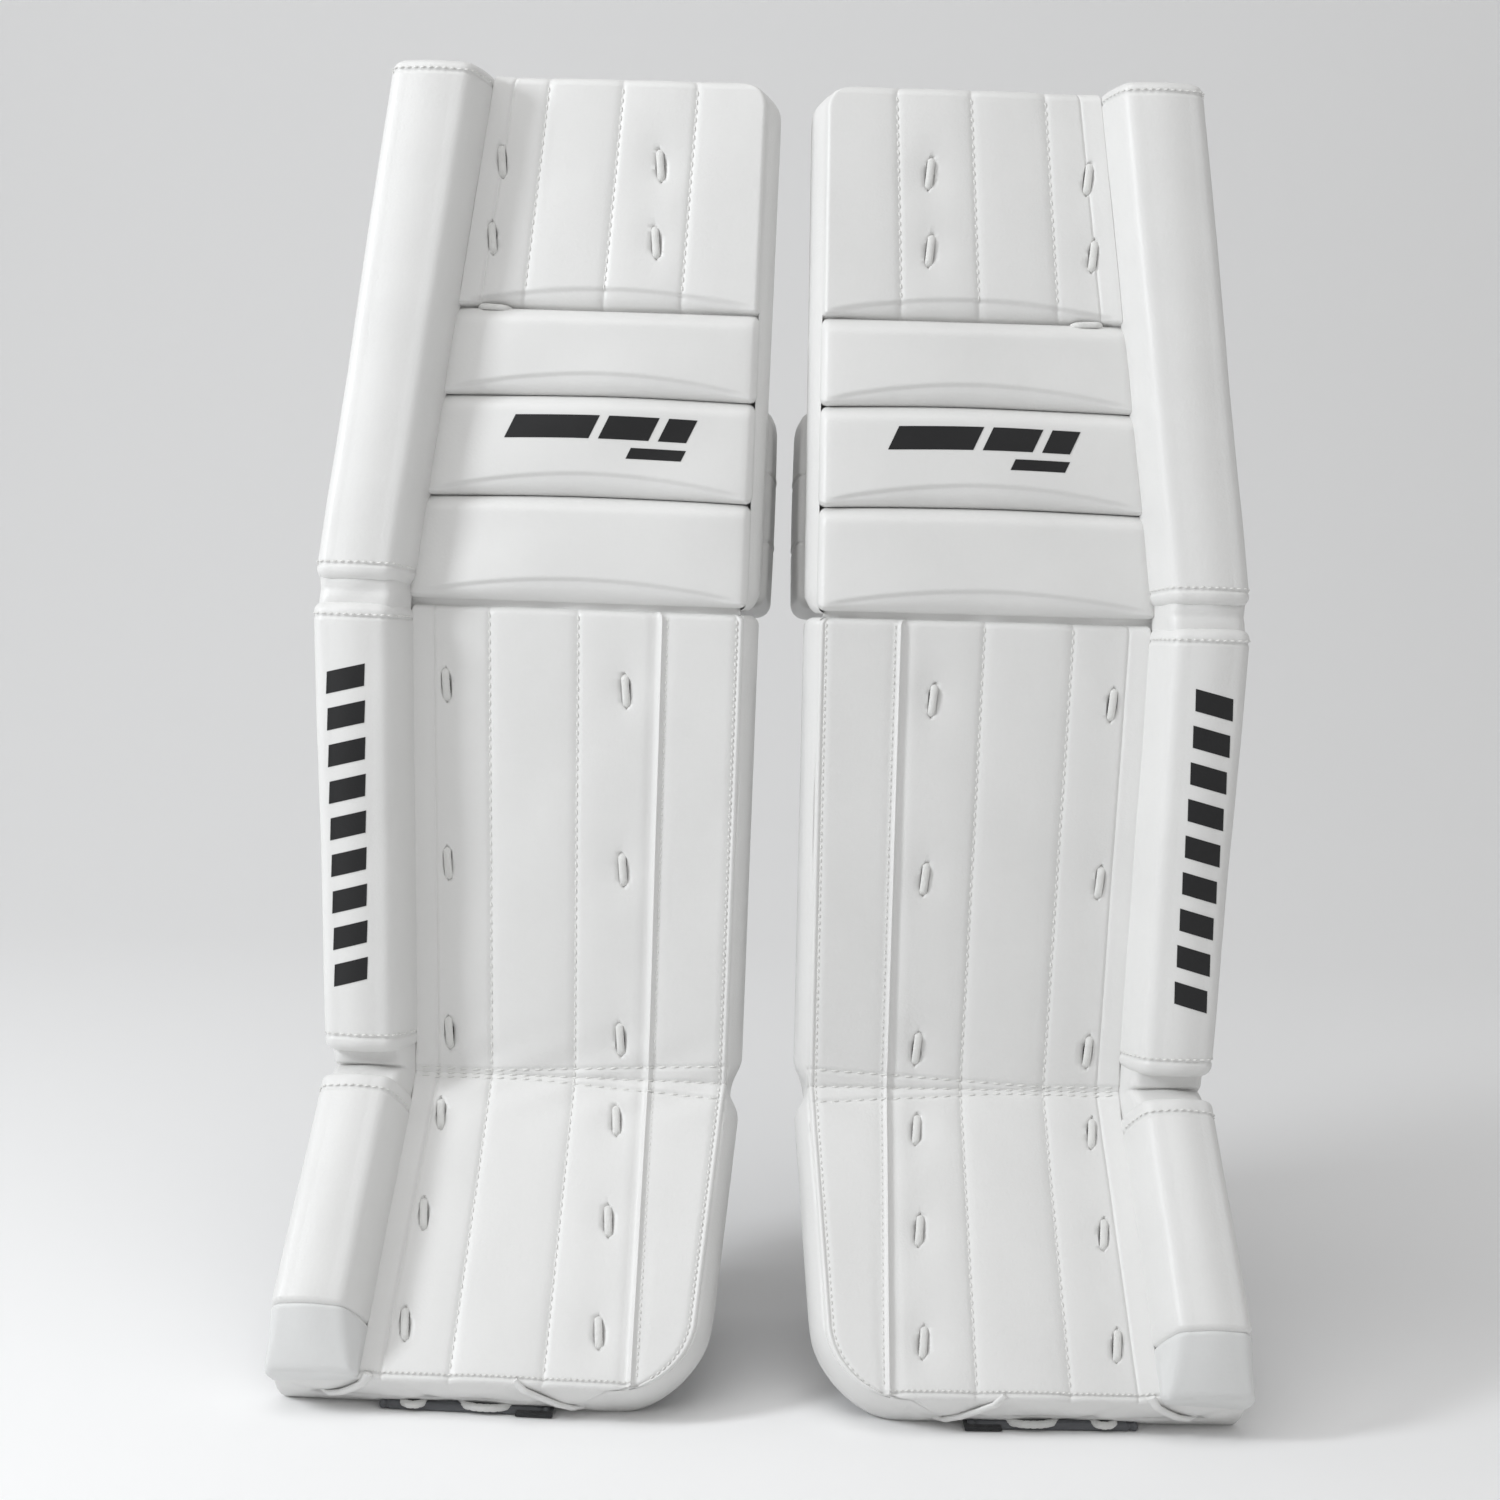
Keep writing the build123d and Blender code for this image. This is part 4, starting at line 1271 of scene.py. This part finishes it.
def toe_bridge(pad):
    """The leather bridge under the toe, its lip in front, and the cord that laces them."""
    place = channel_place(pad)
    bridge = Bag()
    corners = [(-87, 0.2), (-41.5, 0.2), (-41.5, 9), (-87, 9)]
    bridge_section = ring(corners, [1.5, 1.5, 3.5, 3.5], [12, 2, 12, 2], [0, 0, 0.8, 0])
    padded_form(bridge, place, lambda _: bridge_section, -70, 58, 2.5, 6, seams=(-62, 50))
    bridge.piece(pad, "toe_bridge", BLACK_LEATHER, "boot", ["toe_bridge"])
    lip = Bag()
    corners = [(-113, 0.3), (-90, 0.3), (-90, 4.5), (-112, 5.5)]
    lip_section = ring(corners, [1.2, 1, 1, 2.2], [8, 2, 8, 3], [0, 0, 0.4, 0.2])
    padded_form(lip, place, lambda _: lip_section, -38, 67, 2.5, 6, seams=(-33, 62))
    lip.piece(pad, "toe_lip", TOE_GREY, "boot")
    cords = Bag()
    for u, half in ((46, 6.4), (1.5, 14.5)):
        across = np.array([-1.15, -1.05, -0.8, -0.4, 0, 0.4, 0.8, 1.05, 1.15]) * half
        ahead = np.array([-99, -107, -112, -114.4, -114.8, -114.4, -112, -107, -99])
        t = np.linspace(0, 8, 60)
        path = [np.interp(t, np.arange(9), values) for values in (across, ahead)]
        points = pad.ground(u + path[0], path[1], 4.6)
        rope(cords, points, 2.5, 10, 0.9, (0, 0, 1.0), weave=0.08)
    cords.piece(pad, "toe_lacing", CORD, "boot")
    tab = Bag()
    rows = []
    for y, z in smooth_route([(-92, 5), (-106, 3.2), (-116, 1.7)]):
        corners = [(-40, z - 1.2), (-17, z - 1.2), (-17, z + 1.2), (-40, z + 1.2)]
        points = ring(corners, [1] * 4, [9, 1, 9, 1])
        rows.append(pad.ground(points[:, 0], y, points[:, 1]))
    tab.tube(rows)
    tab.piece(pad, "toe_tab", WEBBING, "boot")


def boot_hook(pad):
    """The hook plate at the end of the boot strap, riveted on."""
    bag = Bag()

    place = channel_place(pad)
    corners = [(94.6, 60), (99.4, 60), (99.4, 90), (94.6, 90)]
    section = ring(corners, [1.2, 1.8, 1.8, 1.2], [1, 9, 1, 9], [0, 0.5, 0, 0])
    padded_form(bag, place, lambda _: section, -90, -56, 1.8, 3)
    for z in (67, 83):
        for u in (-64, -80):
            turns = np.linspace(0, 2 * math.pi, 16, endpoint=False)
            rows = []
            for radius, depth in ((3.4, 98.5), (3.4, 99.9), (2.8, 100.7), (1.2, 101.1)):
                rows.append(pad.ground(u + radius * np.cos(turns), depth, z + radius * np.sin(turns)))
            bag.tube(rows)
    bag.piece(pad, "boot_hook", HOOK, "boot_strap", ["boot_hook"])


# ---- plain printed marks, in place of lettering ----
def decal(bag, place, quad, top, cuts):
    """A thin printed patch over a surface: quad is four (u, s) corners, top(u, s) the surface height."""
    a, b = np.meshgrid(np.linspace(0, 1, cuts[0]), np.linspace(0, 1, cuts[1]), indexing="ij")
    corners = np.array(quad, float)
    weights = [(1 - a) * (1 - b), a * (1 - b), a * b, (1 - a) * b]
    u, s = (sum(w * corners[k, axis] for k, w in enumerate(weights)) for axis in (0, 1))
    level = top(u, s)
    upper_face = place(u, s, level + 0.22).reshape(-1, 3)
    under_face = place(u, s, level - 0.9).reshape(-1, 3)
    count, across = u.shape
    size = count * across
    faces = []
    for i in range(count - 1):
        for j in range(across - 1):
            k = i * across + j
            quad_face = (k, k + 1, k + across + 1, k + across)
            faces += [quad_face, tuple(size + x for x in quad_face[::-1])]
    rim = [i * across for i in range(count)]
    rim += [(count - 1) * across + j for j in range(1, across)]
    rim += [i * across + across - 1 for i in range(count - 2, -1, -1)]
    rim += list(range(across - 2, 0, -1))
    for k, i in enumerate(rim):
        j = rim[(k + 1) % len(rim)]
        faces.append((i, j, size + j, size + i))
    bag.add(np.concatenate([upper_face, under_face]), faces)


def marks(pad):
    """Slanted bars on the middle knee roll, and a column of them down the shin's outer roll."""
    low, high = KNEE_ROLL_EDGES[1] + 0.5, KNEE_ROLL_EDGES[2]
    flip = 1 if pad.side == "right" else -1

    def knee_top(u, s):
        return knee_top_at(u, s, low, high)

    bag = Bag()
    bars = ((0, 54, 104, 119), (60, 92, 104, 119), (98, 116, 104, 119), (78, 113, 92, 99))
    for start, end, bottom, top in bars:
        slant = (top - bottom) * 0.45
        spans = ((start, bottom), (end, bottom), (end + slant, top), (start + slant, top))
        quad = [(-36 + flip * (58 - x), s) for x, s in spans]
        decal(bag, lambda u, s, n: pad.upper(u, knee_warp(u, s), n), quad, knee_top, (40, 10))
    bag.piece(pad, "knee_mark", MARK, "upper")

    def roll_top(u, s):
        def level(a, b):
            points = roll_section_at("shin", b, ROLL_HEIGHT)
            points = points[points[:, 1] > 15]
            order = np.argsort(points[:, 0])
            return np.interp(a, points[order, 0], points[order, 1])

        return np.vectorize(level)(u, s)

    bag = Bag()
    for i in range(9):
        s = 62 + 23 * i
        left, right = float(edge_lower(1, s)) + 26, float(edge_lower(2, s)) - 7
        quad = [(left, s), (right, s - 6), (right, s + 8), (left, s + 14)]
        decal(bag, pad.shin, quad, roll_top, (14, 10))
    bag.piece(pad, "roll_mark", MARK, "shin")


# ---- everything for one pad ----
def build(pad):
    """All the pieces of one pad."""
    lower_threads, upper_threads = Bag(), Bag()
    body_lower(pad, lower_threads)
    body_upper(pad, upper_threads)
    lower_threads.piece(pad, "lower_stitches", THREAD, "lower")
    upper_threads.piece(pad, "upper_stitches", THREAD, "upper")
    for i, name in enumerate(("bottom", "middle", "top")):
        low = KNEE_ROLL_EDGES[i] + (0.5 if i else 2.5)
        knee_roll(pad, f"knee_roll_{name}", low, KNEE_ROLL_EDGES[i + 1])
    rolls(pad)
    lacing(pad, "boot", pad.boot, lower_height, BOOT_LOOPS, "boot_laces")
    lacing(pad, "shin", pad.shin, lower_height, SHIN_LOOPS, "shin_laces")
    lacing(pad, "upper", pad.upper, upper_height, UPPER_LOOPS, "upper_laces")
    crease_loop(pad)
    gussets(pad)
    back_fabric(pad)
    channel_cushions(pad)
    knee_cushions(pad)
    calf_wrap(pad)
    straps(pad)
    boot_channel(pad)
    boot_hook(pad)
    marks(pad)
    toe_folds(pad)


for side in ("left", "right"):
    build(Pad(side))


# ---- floor, light and camera ----
def sweep():
    """A floor that curves up into a back wall."""
    turn, radius = 1.2, 1.5
    profile = [(-6.0, 0.0), (turn, 0.0)]
    for a in np.linspace(0.1, math.pi / 2, 14):
        profile.append((turn + radius * math.sin(a), radius - radius * math.cos(a)))
    profile.append((turn + radius, 7.0))
    verts = [(x, y, z) for y, z in profile for x in (-8.0, 8.0)]
    faces = [(2 * i, 2 * i + 1, 2 * i + 3, 2 * i + 2) for i in range(len(profile) - 1)]
    return add_object("floor", verts, faces, Look("floor_paper", (0.93, 0.93, 0.93), 0.7).material)


def area_light(name, place, aim, size, power, color):
    light = bpy.data.lights.new(name, "AREA")
    light.shape = "RECTANGLE"
    light.size, light.size_y = size
    light.energy = power
    light.color = color
    obj = bpy.data.objects.new(name, light)
    obj.location = place
    obj.rotation_euler = (Vector(aim) - Vector(place)).to_track_quat("-Z", "Y").to_euler()
    bpy.context.scene.collection.objects.link(obj)


sweep()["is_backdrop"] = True
area_light("key", (-2.0, -0.95, 1.5), (0, 0, 0.4), (0.45, 0.6), 29.5, (0.95, 0.975, 1.0))
area_light("fill", (2.4, -2.6, 1.6), (0, 0, 0.35), (2.4, 2.4), 3, (1.0, 0.985, 0.96))
area_light("top", (-0.5, -1.0, 2.9), (0, 0, 0.3), (2.6, 2.0), 27.5, (1, 1, 1))
world = bpy.data.worlds.new("studio")
world.use_nodes = True
world.node_tree.nodes["Background"].inputs["Color"].default_value = (1, 1, 1, 1)
world.node_tree.nodes["Background"].inputs["Strength"].default_value = 0.4
bpy.context.scene.world = world
bpy.context.scene.view_settings.view_transform = "Standard"

# fitted to the photograph: place in metres, angles in degrees
CAMERA_PLACE = (-0.0176, -1.7306, 0.636)
CAMERA_ANGLE, CAMERA_DOWN, CAMERA_ROLL = 30.75, 8.0, 1.75

camera_data = bpy.data.cameras.new("camera")
camera_data.sensor_width = 36
camera_data.angle = math.radians(CAMERA_ANGLE)
camera = bpy.data.objects.new("camera", camera_data)
camera.matrix_world = (
    Matrix.Translation(CAMERA_PLACE)
    @ Matrix.Rotation(math.radians(90 - CAMERA_DOWN), 4, "X")
    @ Matrix.Rotation(math.radians(CAMERA_ROLL), 4, "Z")
)
bpy.context.scene.collection.objects.link(camera)
bpy.context.scene.camera = camera

final_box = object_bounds()
boxes = {"cad": cad_box, "scene": final_box}
{name: [list(corner) for corner in box] for name, box in boxes.items()}
